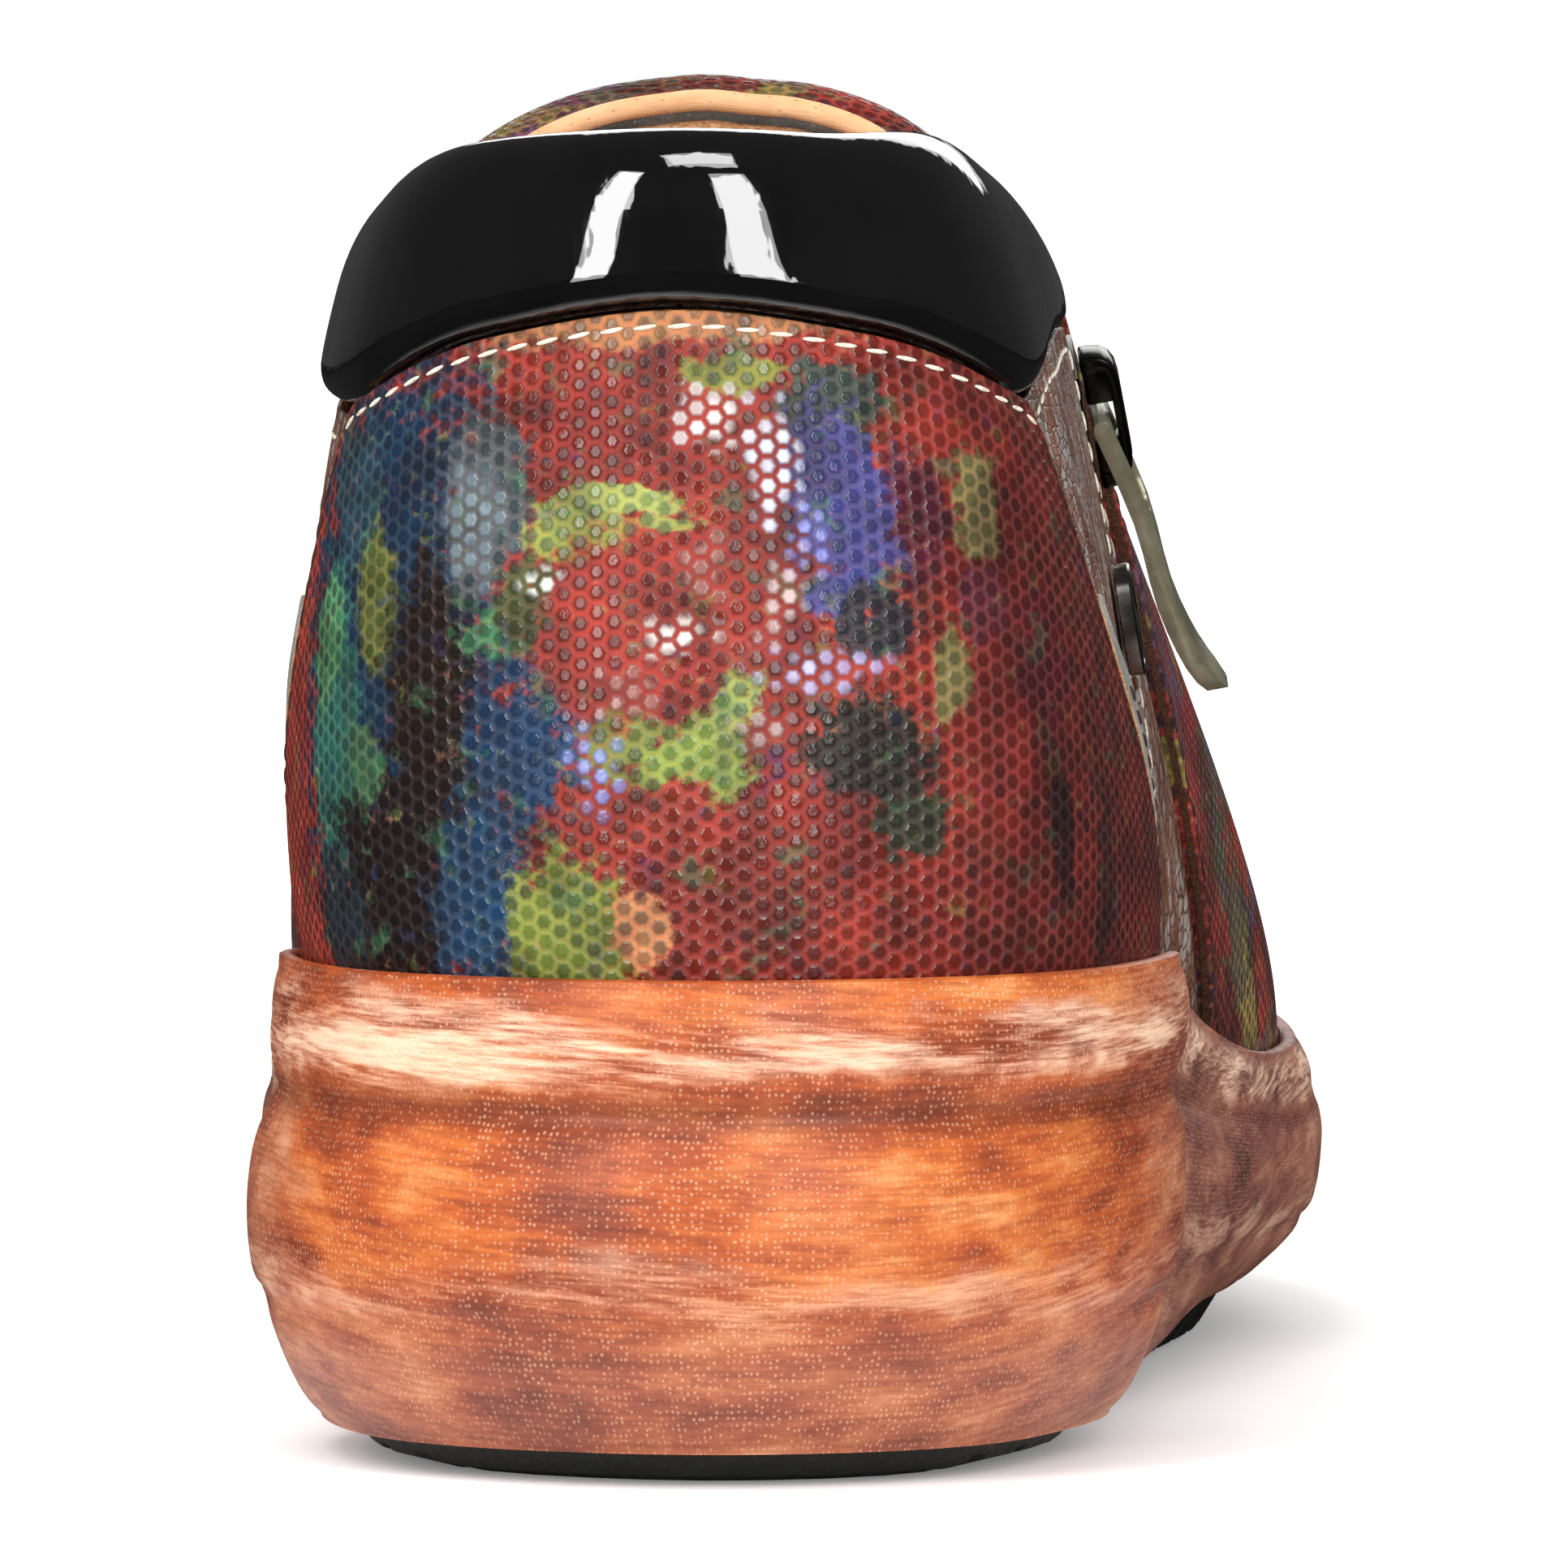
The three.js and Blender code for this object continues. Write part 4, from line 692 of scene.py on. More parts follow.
def sew(name, spots, depth, side=1, pitch=2.7, length=2.05, thick=0.41, thread="waxedCottonThread", lean=0.09):
    # Lockstitch: each stitch is a short bead of thread, pulled a little into the leather at its ends.
    line = np.array(spots, float)
    u, v = line[:, 0], line[:, 1]
    points = offLast(u, v, np.full_like(u, depth))
    normals = outward(u, v) * side
    steps = np.concatenate(([0], np.cumsum(np.linalg.norm(np.diff(points, axis=0), axis=1))))
    count = max(1, int(steps[-1] // pitch))
    bm = bmesh.new()
    for k in range(count):
        middle = (k + 0.5) * steps[-1] / count
        ends = [np.array([np.interp(middle + half, steps,
                                    points[:, i]) for i in range(3)]) for half in (-length / 2, length / 2)]
        out = Vector([np.interp(middle, steps, normals[:, i]) for i in range(3)]).normalized()
        forward = Vector(ends[1] - ends[0]).normalized()
        across = out.cross(forward).normalized()
        forward = Matrix.Rotation(lean, 3, out) @ forward
        across = Matrix.Rotation(lean, 3, out) @ across
        axes = Matrix((forward, across, out)).transposed().to_4x4()
        spot = Matrix.Translation(Vector((ends[0] + ends[1]) / 2) * mm + out * 0.06 * mm)
        size = Matrix.Diagonal((length / 2 * mm, thick / 2 * mm, thick / 2.6 * mm, 1))
        bmesh.ops.create_uvsphere(bm, u_segments=8, v_segments=5, radius=1,
                                  matrix=spot @ axes @ size @ Matrix.Rotation(math.pi / 2, 4, "Y"))
    return makePiece(name, bm, [look[thread]], "shoe")


def layLeather(name, s):
    probe = np.linspace(0, 1, 60)
    midU, midV = panelGrid(s, probe, np.full(60, 0.5))
    width = np.linalg.norm(np.diff(onLast(midU, midV), axis=0), axis=1).sum()
    upU, upV = panelGrid(s, np.full(60, 0.5), probe)
    height = np.linalg.norm(np.diff(onLast(upU, upV), axis=0), axis=1).sum()
    free = s.get("free", "")
    acrossShares = spread(width, s.get("spacing", 1.2), "start" in free, "end" in free)
    upShares = spread(height, s.get("spacing", 1.2), "lower" in free, "upper" in free)
    columns, rows = len(acrossShares) - 1, len(upShares) - 1
    bm = bmesh.new()
    bmesh.ops.create_grid(bm, x_segments=columns, y_segments=rows, size=1)
    i, j = gridSpots(bm, columns, rows)
    a, b = acrossShares[i], upShares[j]
    u, v = panelGrid(s, a, b)
    # distance to each free edge, for its rounded corner and the dip that its stitches pull
    left = onLast(*panelGrid(s, np.zeros_like(a), b))
    right = onLast(*panelGrid(s, np.ones_like(a), b))
    bottom = onLast(*panelGrid(s, a, np.zeros_like(b)))
    top = onLast(*panelGrid(s, a, np.ones_like(b)))
    here = onLast(u, v)
    far = np.full(len(a), 1e3)
    for word, edgePoints in (("start", left), ("end", right), ("lower", bottom), ("upper", top)):
        if word in free:
            far = np.minimum(far, np.linalg.norm(here - edgePoints, axis=1))
    radius = 0.35
    rounded = radius * (1 - np.sqrt(np.clip(1 - (1 - np.clip(far / radius, 0, 1)) ** 2, 0, 1)))
    dip = 0.13 * np.exp(-((far - 1.4) / 0.6) ** 2) * s.get("sewn", 1)
    points = offLast(u, v, s["face"] - rounded - dip)
    place(bm, points)
    piece = makePiece(name, bm, [s["leather"], look[s.get("cut", "edge")]], "shoe",
                      s.get("replaces", (name[:-6],)))
    cutFlat(piece)
    uv = piece.data.uv_layers["flat"].data
    flat = np.zeros(len(uv) * 2)
    uv.foreach_get("uv", flat)
    flat = flat.reshape(-1, 2)
    loopVert = np.zeros(len(uv), int)
    piece.data.loops.foreach_get("vertex_index", loopVert)
    perVert = np.zeros((len(points), 2))
    perVert[loopVert] = flat
    # the middle of the lower edge becomes (0, 0), and the middle column points up
    mid = np.abs(a - 0.5) == np.abs(a - 0.5).min()
    lowSpot = perVert[mid & (j == 0)][0]
    highSpot = perVert[mid & (j == rows)][0]
    real = np.linalg.norm(np.diff(points[mid][np.argsort(j[mid])][:rows + 1], axis=0), axis=1).sum()
    upAxis = (highSpot - lowSpot) / np.linalg.norm(highSpot - lowSpot)
    rightAxis = np.array([upAxis[1], -upAxis[0]])
    firstSpot, lastSpot = (perVert[(i == k) & (j == rows // 2)][0] for k in (0, columns))
    if np.dot(lastSpot - firstSpot, rightAxis) < 0:
        rightAxis = -rightAxis
    grown = real / np.linalg.norm(highSpot - lowSpot)
    turned = (perVert - lowSpot) @ np.stack([rightAxis, upAxis], axis=1) * grown
    uv.foreach_set("uv", turned[loopVert].ravel())
    thick = piece.modifiers.new("thickness", "SOLIDIFY")
    thick.thickness = s["thickness"] * mm
    thick.offset = -1
    thick.use_even_offset = True
    thick.material_offset_rim = 1
    return piece


# ---------- leather panels ----------
panels = {
    "heelCounterPanel": {"start": -0.142, "end": 0.142, "upper": counterEdge, "face": 5.1, "thickness": 1.45,
                         "leather": look["counter"],
                         "slot": "printed_leather", "free": "start end upper", "replaces": ("heel_counter",),
                         "spacing": 0.9},
    "innerQuarterPanel": {"start": -0.2994, "end": -0.0006,
                          "upper": lambda u: np.where(u > -0.1812, seat(u), throatV), "face": 3.6,
                          "thickness": 1.2, "leather": look["scales"], "slot": "scaled_leather",
                          "free": "upper", "replaces": ("inner_quarter",)},
    "outerRearQuarterPanel": {"start": 0.0006, "end": slotRear, "upper": seat, "face": 3.6, "thickness": 1.2,
                              "leather": look["scales"],
                              "slot": "scaled_leather", "free": "end upper",
                              "replaces": ("outer_rear_quarter",)},
    "outerFrontQuarterPanel": {"start": slotFront, "end": 0.2994, "upper": throatV, "face": 3.6,
                               "thickness": 1.2, "leather": look["scales"],
                               "slot": "scaled_leather", "free": "start", "replaces": ("outer_front_quarter",)},
    "vampPanel": {"start": 0.3006, "end": 0.6994, "upper": throatV, "face": 3.6, "thickness": 1.2,
                  "leather": look["pewter"],
                  "slot": "pewter_leather", "replaces": ("vamp",), "spacing": 1.6},
    "saddlePanel": {"start": saddleRear, "end": 1 - saddleRear, "lower": lambda u: np.maximum(0, saddleEdge(u)),
                    "upper": throatV,
                    "face": 5.1, "thickness": 1.45, "leather": look["print"], "slot": "printed_leather",
                    "free": "start end lower",
                    "cut": "inkedEdge",
                    "replaces": ("saddle",), "spacing": 1.4},
    "heelLiningPanel": {"start": -0.1875, "end": lambda v: np.minimum(0.1875, sideways(zipU, v, -slotHalf)),
                        "upper": seat, "face": 1.0,
                        "thickness": 1.0, "leather": look["lining"], "slot": "lining_leather",
                        "replaces": ("heel_lining",), "spacing": 1.8},
    "innerLiningPanel": {"start": -0.2994, "end": -0.1887, "upper": throatV, "face": 1.0, "thickness": 1.0,
                         "leather": look["lining"],
                         "slot": "lining_leather", "replaces": ("inner_lining",), "spacing": 1.8},
    "outerLiningPanel": {"start": lambda v: sideways(zipU, v, slotHalf), "end": 0.2994, "upper": throatV,
                         "face": 1.0, "thickness": 1.0,
                         "leather": look["lining"], "slot": "lining_leather", "replaces": ("outer_lining",),
                         "spacing": 1.8},
    "vampLiningPanel": {"start": 0.3006, "end": 0.6994, "upper": throatV, "face": 1.0, "thickness": 1.0,
                        "leather": look["lining"],
                        "slot": "lining_leather", "replaces": ("vamp_lining",), "spacing": 1.8},
    "outerSideStripPanel": {"start": lambda v: sideways(counterFront(v), v, 0.5),
                            "end": lambda v: sideways(counterFront(v), v, 0.9 + mix(9.0, 1.0, v / 0.55)),
                            "upper": 0.52, "face": 5.1,
                            "thickness": 1.45, "leather": look["pewter"], "slot": "pewter_leather",
                            "free": "end upper",
                            "replaces": ("outer_side_strip",), "spacing": 1.0},
    "innerSideStripPanel": {"start": lambda v: -sideways(counterFront(v), v, 0.9 + mix(9.0, 1.0, v / 0.55)),
                            "end": lambda v: -sideways(counterFront(v), v, 0.5), "upper": 0.52, "face": 5.1,
                            "thickness": 1.45,
                            "leather": look["pewter"], "slot": "pewter_leather", "free": "start upper",
                            "replaces": ("inner_side_strip",), "spacing": 1.0},
}
for panelName, settings in panels.items():
    layLeather(panelName, settings)
print("leather panels laid:", len(panels))

# ---------- stitching ----------
stitchInset = 1.4


def underEdge(edge, first, final, inset=stitchInset, count=80):
    us = np.linspace(first, final, count)
    return np.stack([us, below(us, at(edge, us), inset)], axis=1)


def besideEdge(edge, low, high, inset, count=60):
    vs = np.linspace(low, high, count)
    us = np.array(at(edge, vs)) + np.zeros(count)
    return np.stack([sideways(us, vs, inset), vs], axis=1)


seams = {
    "counterTopStitches": (underEdge(counterEdge, -0.0745, 0.0745), 5.02),
    "counterOuterStitches": (underEdge(counterEdge, 0.0765, 0.139, 1.5), 5.02),
    "counterInnerStitches": (underEdge(counterEdge, -0.0765, -0.139, 1.5), 5.02),
    "rearQuarterTopStitches": (underEdge(seat, 0.088, 0.172, 2.0), 3.55),
    "innerQuarterTopStitches": (underEdge(seat, -0.1, -0.176, 2.2), 3.55),
    "slotRearStitches": (besideEdge(slotRear, 0.34, 0.93, -1.5), 3.55),
    "slotFrontStitches": (besideEdge(slotFront, 0.34, 0.96, 1.5), 3.55),
    "saddleRearStitches": (besideEdge(saddleRear, 0.03, 0.95, 1.4), 5.02),
    "saddleInnerRearStitches": (besideEdge(1 - saddleRear, 0.03, 0.95, -1.4), 5.02),
    "saddleFrontStitches": (np.stack([np.linspace(0.3, 0.7, 160), saddleEdge(np.linspace(0.3, 0.7, 160)) + 0.0],
                                     axis=1), 5.02),
    "outerStripStitches": (besideEdge(lambda v: sideways(counterFront(v), v, 0.9 + mix(9.0, 1.0, v / 0.55)),
                                      0.1, 0.42, -1.3), 5.02),
}
darkSeams = ("counterOuterStitches", "counterInnerStitches", "outerStripStitches", "saddleRearStitches",
             "saddleInnerRearStitches")
frontLine = seams["saddleFrontStitches"][0]
frontLine[:, 1] = below(frontLine[:, 0], frontLine[:, 1], -1.5)
for seamName, (spots, depth) in seams.items():
    sew(seamName, spots, depth, thread="darkBondedThread" if seamName in darkSeams else "waxedCottonThread")
for seamName, inset in (("liningSeamStitchesLeft", -1.6), ("liningSeamStitchesRight", 1.6)):
    sew(seamName, besideEdge(0.5, 0.62, 0.965, inset), -0.02, side=-1, pitch=2.4, length=1.7, thick=0.42)
print("seams sewn:", len(seams) + 2)

# ---------- collar and binding: bars swept along the topline ----------
def sweepBar(name, fromU, toU, placeV, section, count, around, materials, replaced, closedEnds=True):
    bm = bmesh.new()
    bmesh.ops.create_grid(bm, x_segments=count, y_segments=around, size=1)
    i, j = gridSpots(bm, count, around)
    t = i / count
    u = mix(fromU, toU, t)
    v = at(placeV, u) + np.zeros_like(u)
    angle = 2 * math.pi * (j % around) / around
    outBy, upBy = section(u, angle, t)
    out = outward(u, v)
    up = perV(u, v)
    up /= np.linalg.norm(up, axis=1, keepdims=True)
    points = onLast(u, v) + out * outBy[:, None] + up * upBy[:, None]
    place(bm, points)
    uvLayer = bm.loops.layers.uv.new("flat")
    lineU = np.linspace(fromU, toU, count + 1)
    line = onLast(lineU, at(placeV, lineU) + np.zeros_like(lineU))
    steps = np.concatenate(([0], np.cumsum(np.linalg.norm(np.diff(line, axis=0), axis=1))))
    girth = np.abs(outBy).max() * 5.0
    bm.verts.ensure_lookup_table()
    for face in bm.faces:
        for loop in face.loops:
            k = loop.vert.index
            loop[uvLayer].uv = (steps[i[k]], girth * j[k] / around)
    if len(materials) > 1:  # the second material is on the half that faces the foot
        for face in bm.faces:
            if sum(math.cos(angle[vert.index]) for vert in face.verts) < -0.8:
                face.material_index = 1
    bmesh.ops.remove_doubles(bm, verts=bm.verts, dist=0.004 * mm)
    if closedEnds:
        bmesh.ops.holes_fill(bm, edges=[e for e in bm.edges if e.is_boundary])
    bmesh.ops.recalc_face_normals(bm, faces=bm.faces)
    return makePiece(name, bm, materials, "shoe", replaced)


# Padded collar: foam in lacquered leather, fullest low behind the ankle, pinched flat into the seam at its
# two ends.
collar = {"depth": 10.5, "centre": 1.5, "count": 220, "around": 56, "squareness": 2.2, "lowSquareness": 4.2,
          "pucker": 0.10, "puckerPitch": 5.2}


def collarMiddle(u):
    return (collarHigh(u) + collarLow(u)) / 2


def collarSection(u, angle, t):
    middle = collarMiddle(u)
    half = (collarHigh(u) - collarLow(u)) / 2 * np.linalg.norm(perV(u, middle), axis=-1)
    swell = mix(0.5, 1, np.clip(np.cos(u / collarEnd * math.pi / 2), 0, 1) ** 0.7) * collar["depth"] / 2
    fromEnd = np.minimum(t, 1 - t) * 2 * collarEnd
    taper = np.sqrt(np.clip(1 - (1 - np.clip(fromEnd / 0.012, 0, 1)) ** 2, 0.0004, 1))
    # below its middle the roll stands upright against the counter, so its section is squarer there
    cos, sin = np.cos(angle), np.sin(angle)
    power = 2 / np.where(sin < 0, mix(collar["squareness"], collar["lowSquareness"], np.clip(-sin * 2, 0, 1)),
                         collar["squareness"])
    cos, sin = np.sign(cos) * np.abs(cos) ** power, np.sign(sin) * np.abs(sin) ** power
    # the lower seam gathers the leather a little
    lowHalf = np.exp(-((angle - 1.62 * math.pi) / 0.55) ** 2)
    gather = collar["pucker"] * lowHalf * np.sin(u * 900 / collar["puckerPitch"] * 2 * math.pi / 4)
    return collar["centre"] + (swell * taper + gather * 0.6) * cos, (half * taper) * sin


collarRoll = sweepBar("paddedCollar", -collarEnd, collarEnd, collarMiddle, collarSection, collar["count"],
                      collar["around"],
                      [look["patent"]], ("collar_cover", "collar_foam"))

# Throat binding: the printed leather folded over the edge of the lining.
binding = {"radius": 2.05, "height": 1.05, "count": 420, "around": 20}


def bindingSection(u, angle, t):
    return 1.0 + binding["radius"] * (1 + np.cos(angle)), 0.3 + binding["height"] * (1 + np.sin(angle))


sweepBar("throatBindingFold", saddleRear, 1 - saddleRear, throatV, bindingSection, binding["count"],
         binding["around"],
         [look["print"], look["lining"]], ("throat_binding",))
print("collar and binding made")

# ---------- platform sole ----------
# Profile of the wall: share of its height, distance outside the feather line at the heel, the same at the ball.
wall = {
    "profile": [(0, 4.3, 2.8), (0.035, 5.4, 3.9), (0.07, 6.3, 4.8), (0.2, 8.4, 7.6), (0.285, 9.3, 8.5),
                (0.3, 9.75, 8.9), (0.36, 10.3, 9.4), (0.44, 10.5, 9.7), (0.52, 10.35, 9.85), (0.6, 9.8, 9.9),
                (0.67, 8.7, 9.65), (0.7, 7.95, 9.4), (0.72, 7.8, 9.25), (0.75, 8.15, 9.1), (0.8, 8.5, 8.7),
                (0.87, 8.35, 8.2), (0.94, 7.5, 7.4), (0.98, 6.9, 6.9)],
    "tuck": 2.9, "rimOverlap": 5, "rimInner": 5.4, "rimEdge": 1.1, "outsole": 2.7, "spring": 8, "columns": 440,
    "rowsBetween": 4,
}


def foreShare(y):
    return smooth((y - 45) / 60)


def soleSpring(y):
    return wall["spring"] * np.maximum(0, (y - 0.51 * 220) / (0.49 * 220 + 9)) ** 2


def wallFoot(y):
    return wall["outsole"] + soleSpring(y) + 2.3 * foreShare(y)


def rimTop(y):
    return featherHeight(y) + wall["rimOverlap"]


def soleRing(u, away, height):
    foot = onRail(rails[0], u)
    z, distance = height(foot[:, 1]), away(foot[:, 1])
    level = foot + outward(u, np.zeros_like(u)) * distance[:, None]
    level[:, 2] = z
    low, high = np.zeros_like(u), np.full_like(u, 0.4)
    for _ in range(22):
        v = (low + high) / 2
        under = offLast(u, v, distance)[:, 2] < z
        low, high = np.where(under, v, low), np.where(under, high, v)
    return np.where((z <= foot[:, 2])[:, None], level, offLast(u, low, distance))


def makeSole():
    shares, heelAway, foreAway = np.array(wall["profile"], float).T
    fine = []
    for k in range(len(shares) - 1):
        fine += list(np.linspace(shares[k], shares[k + 1], wall["rowsBetween"], endpoint=False))
    fine = np.array(fine + [shares[-1]])
    heelCurve = through(*zip(shares, heelAway))
    foreCurve = through(*zip(shares, foreAway))
    columns = wall["columns"]
    u = np.arange(columns + 1) / columns

    # the wall draws in under the outer side of the heel
    besideHeel = smooth((u - 0.02) / 0.06) * (1 - smooth((u - 0.15) / 0.06))

    def row(heel, fore, height, share=1.0):
        tuck = wall["tuck"] * besideHeel * (1 - smooth((share - 0.4) / 0.6))
        return soleRing(u, lambda y: mix(heel, fore, foreShare(y)) - tuck, height)
    rows = [row(h, f, lambda y, s=s: mix(wallFoot(y), rimTop(y), s), s) for s, h,
            f in zip(fine, heelCurve(fine), foreCurve(fine))]
    inner, edge = wall["rimInner"], wall["rimEdge"]
    for out, drop in ((edge + 0.25, 0.12), (edge - 0.1, -0.03), (0.5, -0.05), (0.12, 0.05), (0, 0.3), (0, 0.9)):
        rows.append(row(inner + out, inner + out, lambda y, d=drop: rimTop(y) - d))
    rows.append(row(inner, inner, lambda y: featherHeight(y) - 0.3))
    rows.append(row(inner, inner, lambda y: featherHeight(y) - 4.4))
    grid = np.stack(rows)
    bm = bmesh.new()
    bmesh.ops.create_grid(bm, x_segments=columns, y_segments=len(rows) - 1, size=1)
    i, j = gridSpots(bm, columns, len(rows) - 1)
    place(bm, grid[j, i % columns])
    uvLayer = bm.loops.layers.uv.new("flat")
    girth = np.concatenate(([0], np.cumsum(np.linalg.norm(np.diff(grid[len(fine) // 2], axis=0), axis=1))))
    heights = grid[:, 0, 2]
    for vert, column, level in zip(bm.verts, i, j):
        for loop in vert.link_loops:
            loop[uvLayer].uv = (girth[column], heights[level])
    bmesh.ops.remove_doubles(bm, verts=bm.verts, dist=0.004 * mm)
    bmesh.ops.holes_fill(bm, edges=[e for e in bm.edges if e.is_boundary])
    bmesh.ops.recalc_face_normals(bm, faces=bm.faces)
    return makePiece("paintedPlatform", bm, [look["sole"]], "shoe", ("platform_sole",),
                     smoothAngle=50)


makeSole()
print("sole made")


# ---------- pieces that keep the solid's shape, with softened edges ----------
def softenedCopy(name, node, material, body, bevel=0.0, segments=2, smoothAngle=32):
    bm = bmesh.new()
    bm.from_mesh(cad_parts[node].data)
    bmesh.ops.remove_doubles(bm, verts=bm.verts, dist=0.002 * mm)
    bmesh.ops.dissolve_limit(bm, angle_limit=math.radians(1.5), verts=bm.verts, edges=bm.edges)
    if bevel:
        sharp = [e for e in bm.edges if e.is_manifold and e.calc_face_angle(0) > math.radians(smoothAngle)]
        bmesh.ops.bevel(bm, geom=sharp, offset=bevel * mm, offset_type="OFFSET", segments=segments, profile=0.5,
                        affect="EDGES",
                        clamp_overlap=True, material=-1)
    return makePiece(name, bm, [look[material]], body, (node,), smoothAngle=smoothAngle)


copies = [
    ("treadedOutsole", "outsole", "calenderedRubber", "shoe", "tread_rubber", 0.0, 40),
    ("sockCover", "footbed_cover", "liningObject", "shoe", "lining_leather", 0.0, 50),
    ("zipTapeRear", "zip_tape_rear", "polyesterTapeWoven", "shoe", "zip_tape", 0.0, 40),
    ("zipTapeFront", "zip_tape_front", "polyesterTapeWoven", "shoe", "zip_tape", 0.0, 40),
    ("zipTeethRear", "zip_teeth_rear", "gunmetalPlatedZinc", "shoe", "zip_metal", 0.12, 40),
    ("zipTeethFront", "zip_teeth_front", "gunmetalPlatedZinc", "shoe", "zip_metal", 0.12, 40),
    ("zipSliderBody", "zip_slider", "gunmetalPlatedZinc", "slider", "zip_metal", 0.14, 35),
    ("zipSliderCrown", "slider_crown", "gunmetalPlatedZinc", "slider", "zip_metal", 0.3, 35),
    ("zipPull", "pull_tab", "antiqueBrushedPull", "pull", "pull_metal", 0.28, 35),
]
# The crown is cast solid at both ends, with a hollow left in its middle for the pull's cross bar.
crown = {"centre": (26.003, 47.541, 83.798), "down": (0.16504, 0.31381, -0.935032),
         "across": (-0.078775, 0.949198, 0.30466),
         "ends": ((-4.85, -1.75), (1.75, 4.9)), "foot": 2.7, "top": 5.1, "width": 3.5, "edge": 0.3}


def makeCrownInfill():
    down, across = Vector(crown["down"]), Vector(crown["across"])
    axes = Matrix((down, across, down.cross(across))).transposed().to_4x4()
    bm = bmesh.new()
    height = crown["top"] - crown["foot"]
    for first, last in crown["ends"]:
        size = Matrix.Diagonal((last - first, crown["width"], height, 1))
        spot = Matrix.Translation(((first + last) / 2, 0, crown["foot"] + height / 2))
        zipPlane = Matrix.Scale(mm, 4) @ Matrix.Translation(crown["centre"]) @ axes
        bmesh.ops.create_cube(bm, size=1, matrix=zipPlane @ spot @ size)
    bmesh.ops.bevel(bm, geom=list(bm.edges), offset=crown["edge"] * mm, offset_type="OFFSET", segments=3,
                    profile=0.5, affect="EDGES")
    return makePiece("crownInfill", bm, [look["gunmetalPlatedZinc"]], "slider")


makeCrownInfill()
liningCopy = look["lining"].copy()
liningCopy.name = "tannedPigskinSock"
for node in liningCopy.node_tree.nodes:
    if node.bl_idname == "ShaderNodeUVMap":
        links = [link.to_socket for link in node.outputs[0].links]
        source = addNode(liningCopy.node_tree, "TexCoord").outputs["Object"]
        scaled = stretched(liningCopy.node_tree, source, 1000, 1000, 1000)
        for socket in links:
            liningCopy.node_tree.links.new(scaled, socket)
look["liningObject"] = liningCopy
for name, nodeName, material, body, slotName, bevel, angle in copies:
    softenedCopy(name, nodeName, material, body, bevel, smoothAngle=angle)

hidden = {"shank": "coldRolledSteel", "sole_filler": "openCellFoam", "insole_board": "pressedFibreBoard",
          "footbed_foam": "openCellFoam",
          "heel_stiffener": "pressedFibreBoard", "toe_puff": "pressedFibreBoard", "zip_gusset": "liningObject",
          "top_stop_rear": "gunmetalPlatedZinc", "top_stop_front": "gunmetalPlatedZinc",
          "bottom_stop": "gunmetalPlatedZinc"}
for nodeName, material in hidden.items():
    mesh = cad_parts[nodeName].data
    mesh.materials.clear()
    mesh.materials.append(look[material])


# Side badge: a plain turned disc with a raised rim and a small domed middle.
badge = {"radius": 4.8, "thickness": 1.5, "u": 0.158, "v": 0.53, "steps": 72,
         "profile": [(0, 0), (4.6, 0), (4.8, 0.2), (4.8, 1.25), (4.65, 1.45), (4.35, 1.5), (3.9, 1.45),
                     (3.7, 1.15), (3.5, 0.98), (2.2, 0.98), (1.9, 1.02), (1.6, 1.3), (0.9, 1.42), (0, 1.45)]}


def makeBadge():
    bm = bmesh.new()
    verts = [bm.verts.new((r * mm, 0, z * mm)) for r, z in badge["profile"]]
    edges = [bm.edges.new(pair) for pair in zip(verts, verts[1:])]
    bmesh.ops.spin(bm, geom=verts + edges, cent=(0, 0, 0), axis=(0, 0, 1), angle=2 * math.pi,
                   steps=badge["steps"], use_merge=True)
    bmesh.ops.remove_doubles(bm, verts=bm.verts, dist=0.002 * mm)
    bmesh.ops.recalc_face_normals(bm, faces=bm.faces)
    u, v = np.array([badge["u"]]), np.array([badge["v"]])
    spot = offLast(u, v, np.array([upperFace + 0.3]))[0]
    out = Vector(outward(u, v)[0])
    turn = out.to_track_quat("Z", "Y").to_matrix().to_4x4()
    bmesh.ops.transform(bm, matrix=Matrix.Translation(Vector(spot) * mm) @ turn, verts=bm.verts)
    return makePiece("sideBadge", bm, [look["darkChromeBadge"]], "shoe", ("side_badge",),
                     smoothAngle=30)


makeBadge()
print("metal and carried pieces finished")

# ---------- studio ----------
floorMaterial, floorTree, floorShader, floorPlace = newMaterial("matteWhiteSweep", uvInMm=False)
paper = noise(floorTree, floorPlace, 0.4, 3.0)
setShader(floorTree, floorShader, colour=ramp(floorTree, paper, (0.3, "#f4f4f4"), (0.7, "#f8f8f8")),
          roughness=0.75, specular=0.2)
# The sweep glows a little where the camera sees it, and is dark in reflections away from the shoe, as in a
# studio with a short table.
rays = addNode(floorTree, "LightPath").outputs
farOff = addNode(floorTree, "VectorMath", {0: floorPlace}, operation="LENGTH").outputs["Value"]
glow = addNode(floorTree, "Emission", {0: linear("#ffffff"), 1: ranged(floorTree, farOff, 200, 1100, 0.15,
        0.62)}).outputs[0]
seen = addNode(floorTree, "MixShader", {0: rays["Is Camera Ray"], 1: floorShader.outputs[0],
                                        2: addNode(floorTree, "AddShader",
                                                   {0: floorShader.outputs[0], 1: glow}).outputs[0]}).outputs[0]
black = addNode(floorTree, "BsdfDiffuse", {0: linear("#202020")}).outputs[0]
hidden = math2(floorTree, "MULTIPLY", rays["Is Glossy Ray"], ranged(floorTree, farOff, 20, 110))
sweep = addNode(floorTree, "MixShader", {0: hidden, 1: seen, 2: black}).outputs[0]
floorTree.links.new(sweep,
                    next(n for n in floorTree.nodes if n.bl_idname == "ShaderNodeOutputMaterial").inputs[0])
bm = bmesh.new()
bmesh.ops.create_circle(bm, cap_ends=True, segments=64, radius=14.0)
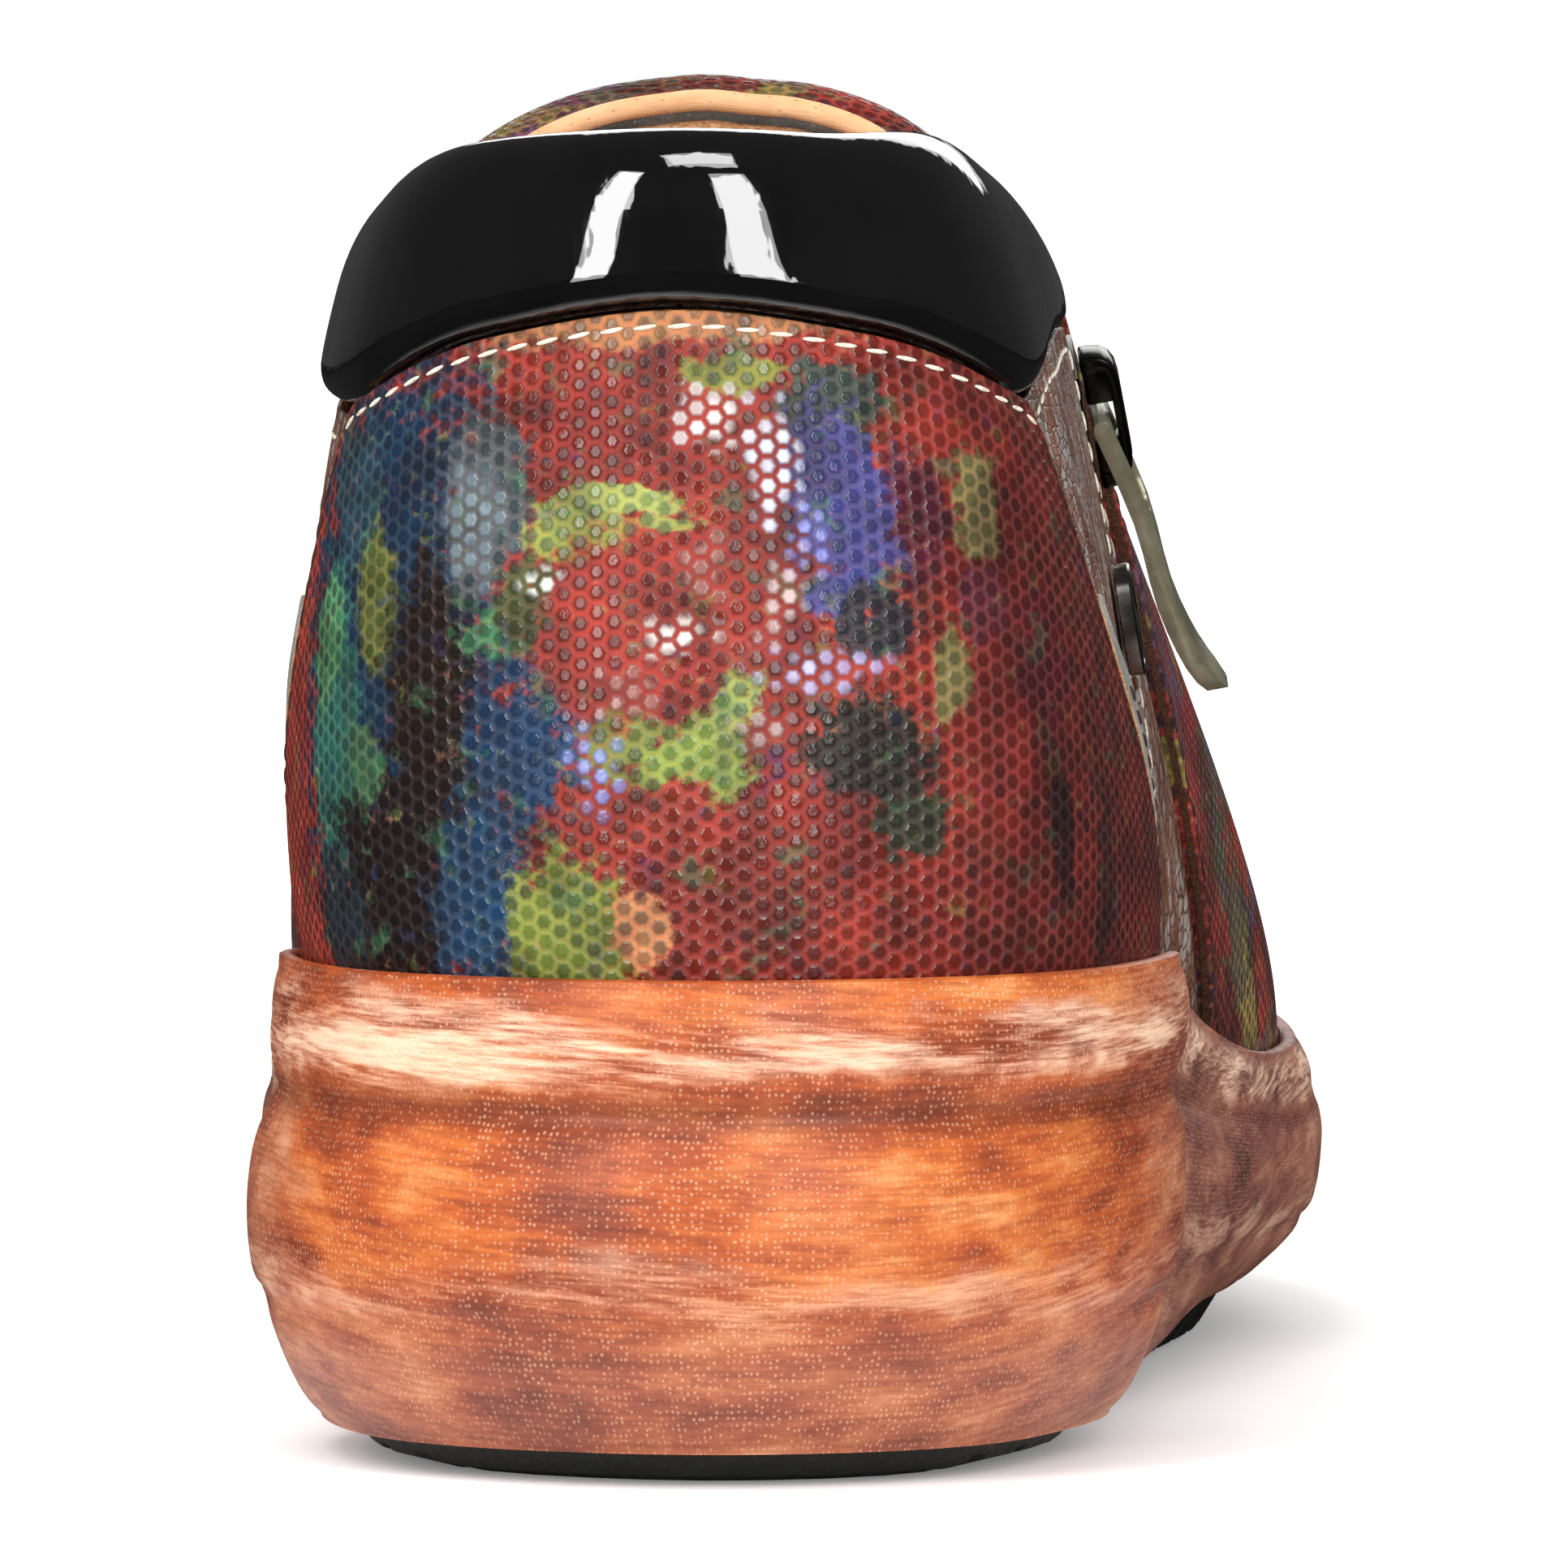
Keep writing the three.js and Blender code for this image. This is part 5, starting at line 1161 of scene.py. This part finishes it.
floorMesh = bpy.data.meshes.new("floor")
bm.to_mesh(floorMesh)
bm.free()
floor = bpy.data.objects.new("floor", floorMesh)
bpy.context.scene.collection.objects.link(floor)
floorMesh.materials.append(floorMaterial)

world = bpy.data.worlds.new("studio")
bpy.context.scene.world = world
world.use_nodes = True
world.node_tree.nodes.clear()
sky = world.node_tree
rays = addNode(sky, "LightPath").outputs
soft = addNode(sky, "Background", {0: linear("#ffffff"), 1: 0.3})
dark = addNode(sky, "Background", {0: linear("#ffffff"), 1: 0.05})
bright = addNode(sky, "Background", {0: linear("#ffffff"), 1: 1.0})
reflected = addNode(sky, "MixShader", {0: rays["Is Glossy Ray"], 1: soft.outputs[0], 2: dark.outputs[0]})
both = addNode(sky, "MixShader", {0: rays["Is Camera Ray"], 1: reflected.outputs[0], 2: bright.outputs[0]})
addNode(sky, "OutputWorld", {0: both.outputs[0]})


def addLight(name, kind, location, target, energy, sizes=(1, 1), colour="#ffffff", glossy=True, angle=0.0):
    lamp = bpy.data.lights.new(name, kind)
    lamp.energy = energy
    lamp.color = linear(colour)[:3]
    if kind == "AREA":
        lamp.shape = "RECTANGLE"
        lamp.size, lamp.size_y = sizes
    else:
        lamp.angle = math.radians(angle)
    holder = bpy.data.objects.new(name, lamp)
    bpy.context.scene.collection.objects.link(holder)
    holder.location = location
    holder.rotation_euler = (Vector(target) - Vector(location)).to_track_quat("-Z", "Y").to_euler()
    holder.visible_glossy = glossy
    return holder


def around(azimuth, distance, height):
    a = math.radians(azimuth)
    return (distance * math.sin(a), -distance * math.cos(a), height)


heel = (0, -0.03, 0.06)
addLight("overheadSun", "SUN", (-0.42, -0.12, 1.2), (0, 0, 0), 1.5, angle=34, glossy=False)
addLight("topSoftbox", "AREA", (0.12, -0.42, 1.25), heel, 3.2, (0.5, 0.32))
for name, azimuth, energy, width in (("leftSoftbox", -33, 15, 0.34), ("rightSoftbox", 27, 17, 0.42)):
    addLight(name, "AREA", around(azimuth, 1.5, 0.85), (0, -0.03, 0.25), energy, (width, 1.6))
addLight("outerFill", "AREA", (1.6, 0.1, 0.8), (0, 0.08, 0.04), 9, (1.0, 1.0), glossy=False)
addLight("innerFill", "AREA", (-1.6, 0.3, 0.8), (0, 0.08, 0.04), 9, (1.0, 1.0), glossy=False)
addLight("toeFill", "AREA", (0.2, 1.9, 1.0), (0, 0.1, 0.04), 9, (1.2, 1.0))

view = {"from": (0.075, -1.334, 0.114), "to": (0.0069, -0.0357, 0.0568), "lens": 372.7}
cameraData = bpy.data.cameras.new("camera")
cameraData.lens = view["lens"]
cameraData.sensor_width = 36
cameraData.clip_end = 60
camera = bpy.data.objects.new("camera", cameraData)
bpy.context.scene.collection.objects.link(camera)
camera.location = view["from"]
camera.rotation_euler = (Vector(view["to"]) - Vector(view["from"])).to_track_quat("-Z", "Y").to_euler()
bpy.context.scene.camera = camera
bpy.context.scene.view_settings.view_transform = "Standard"
print("studio set")
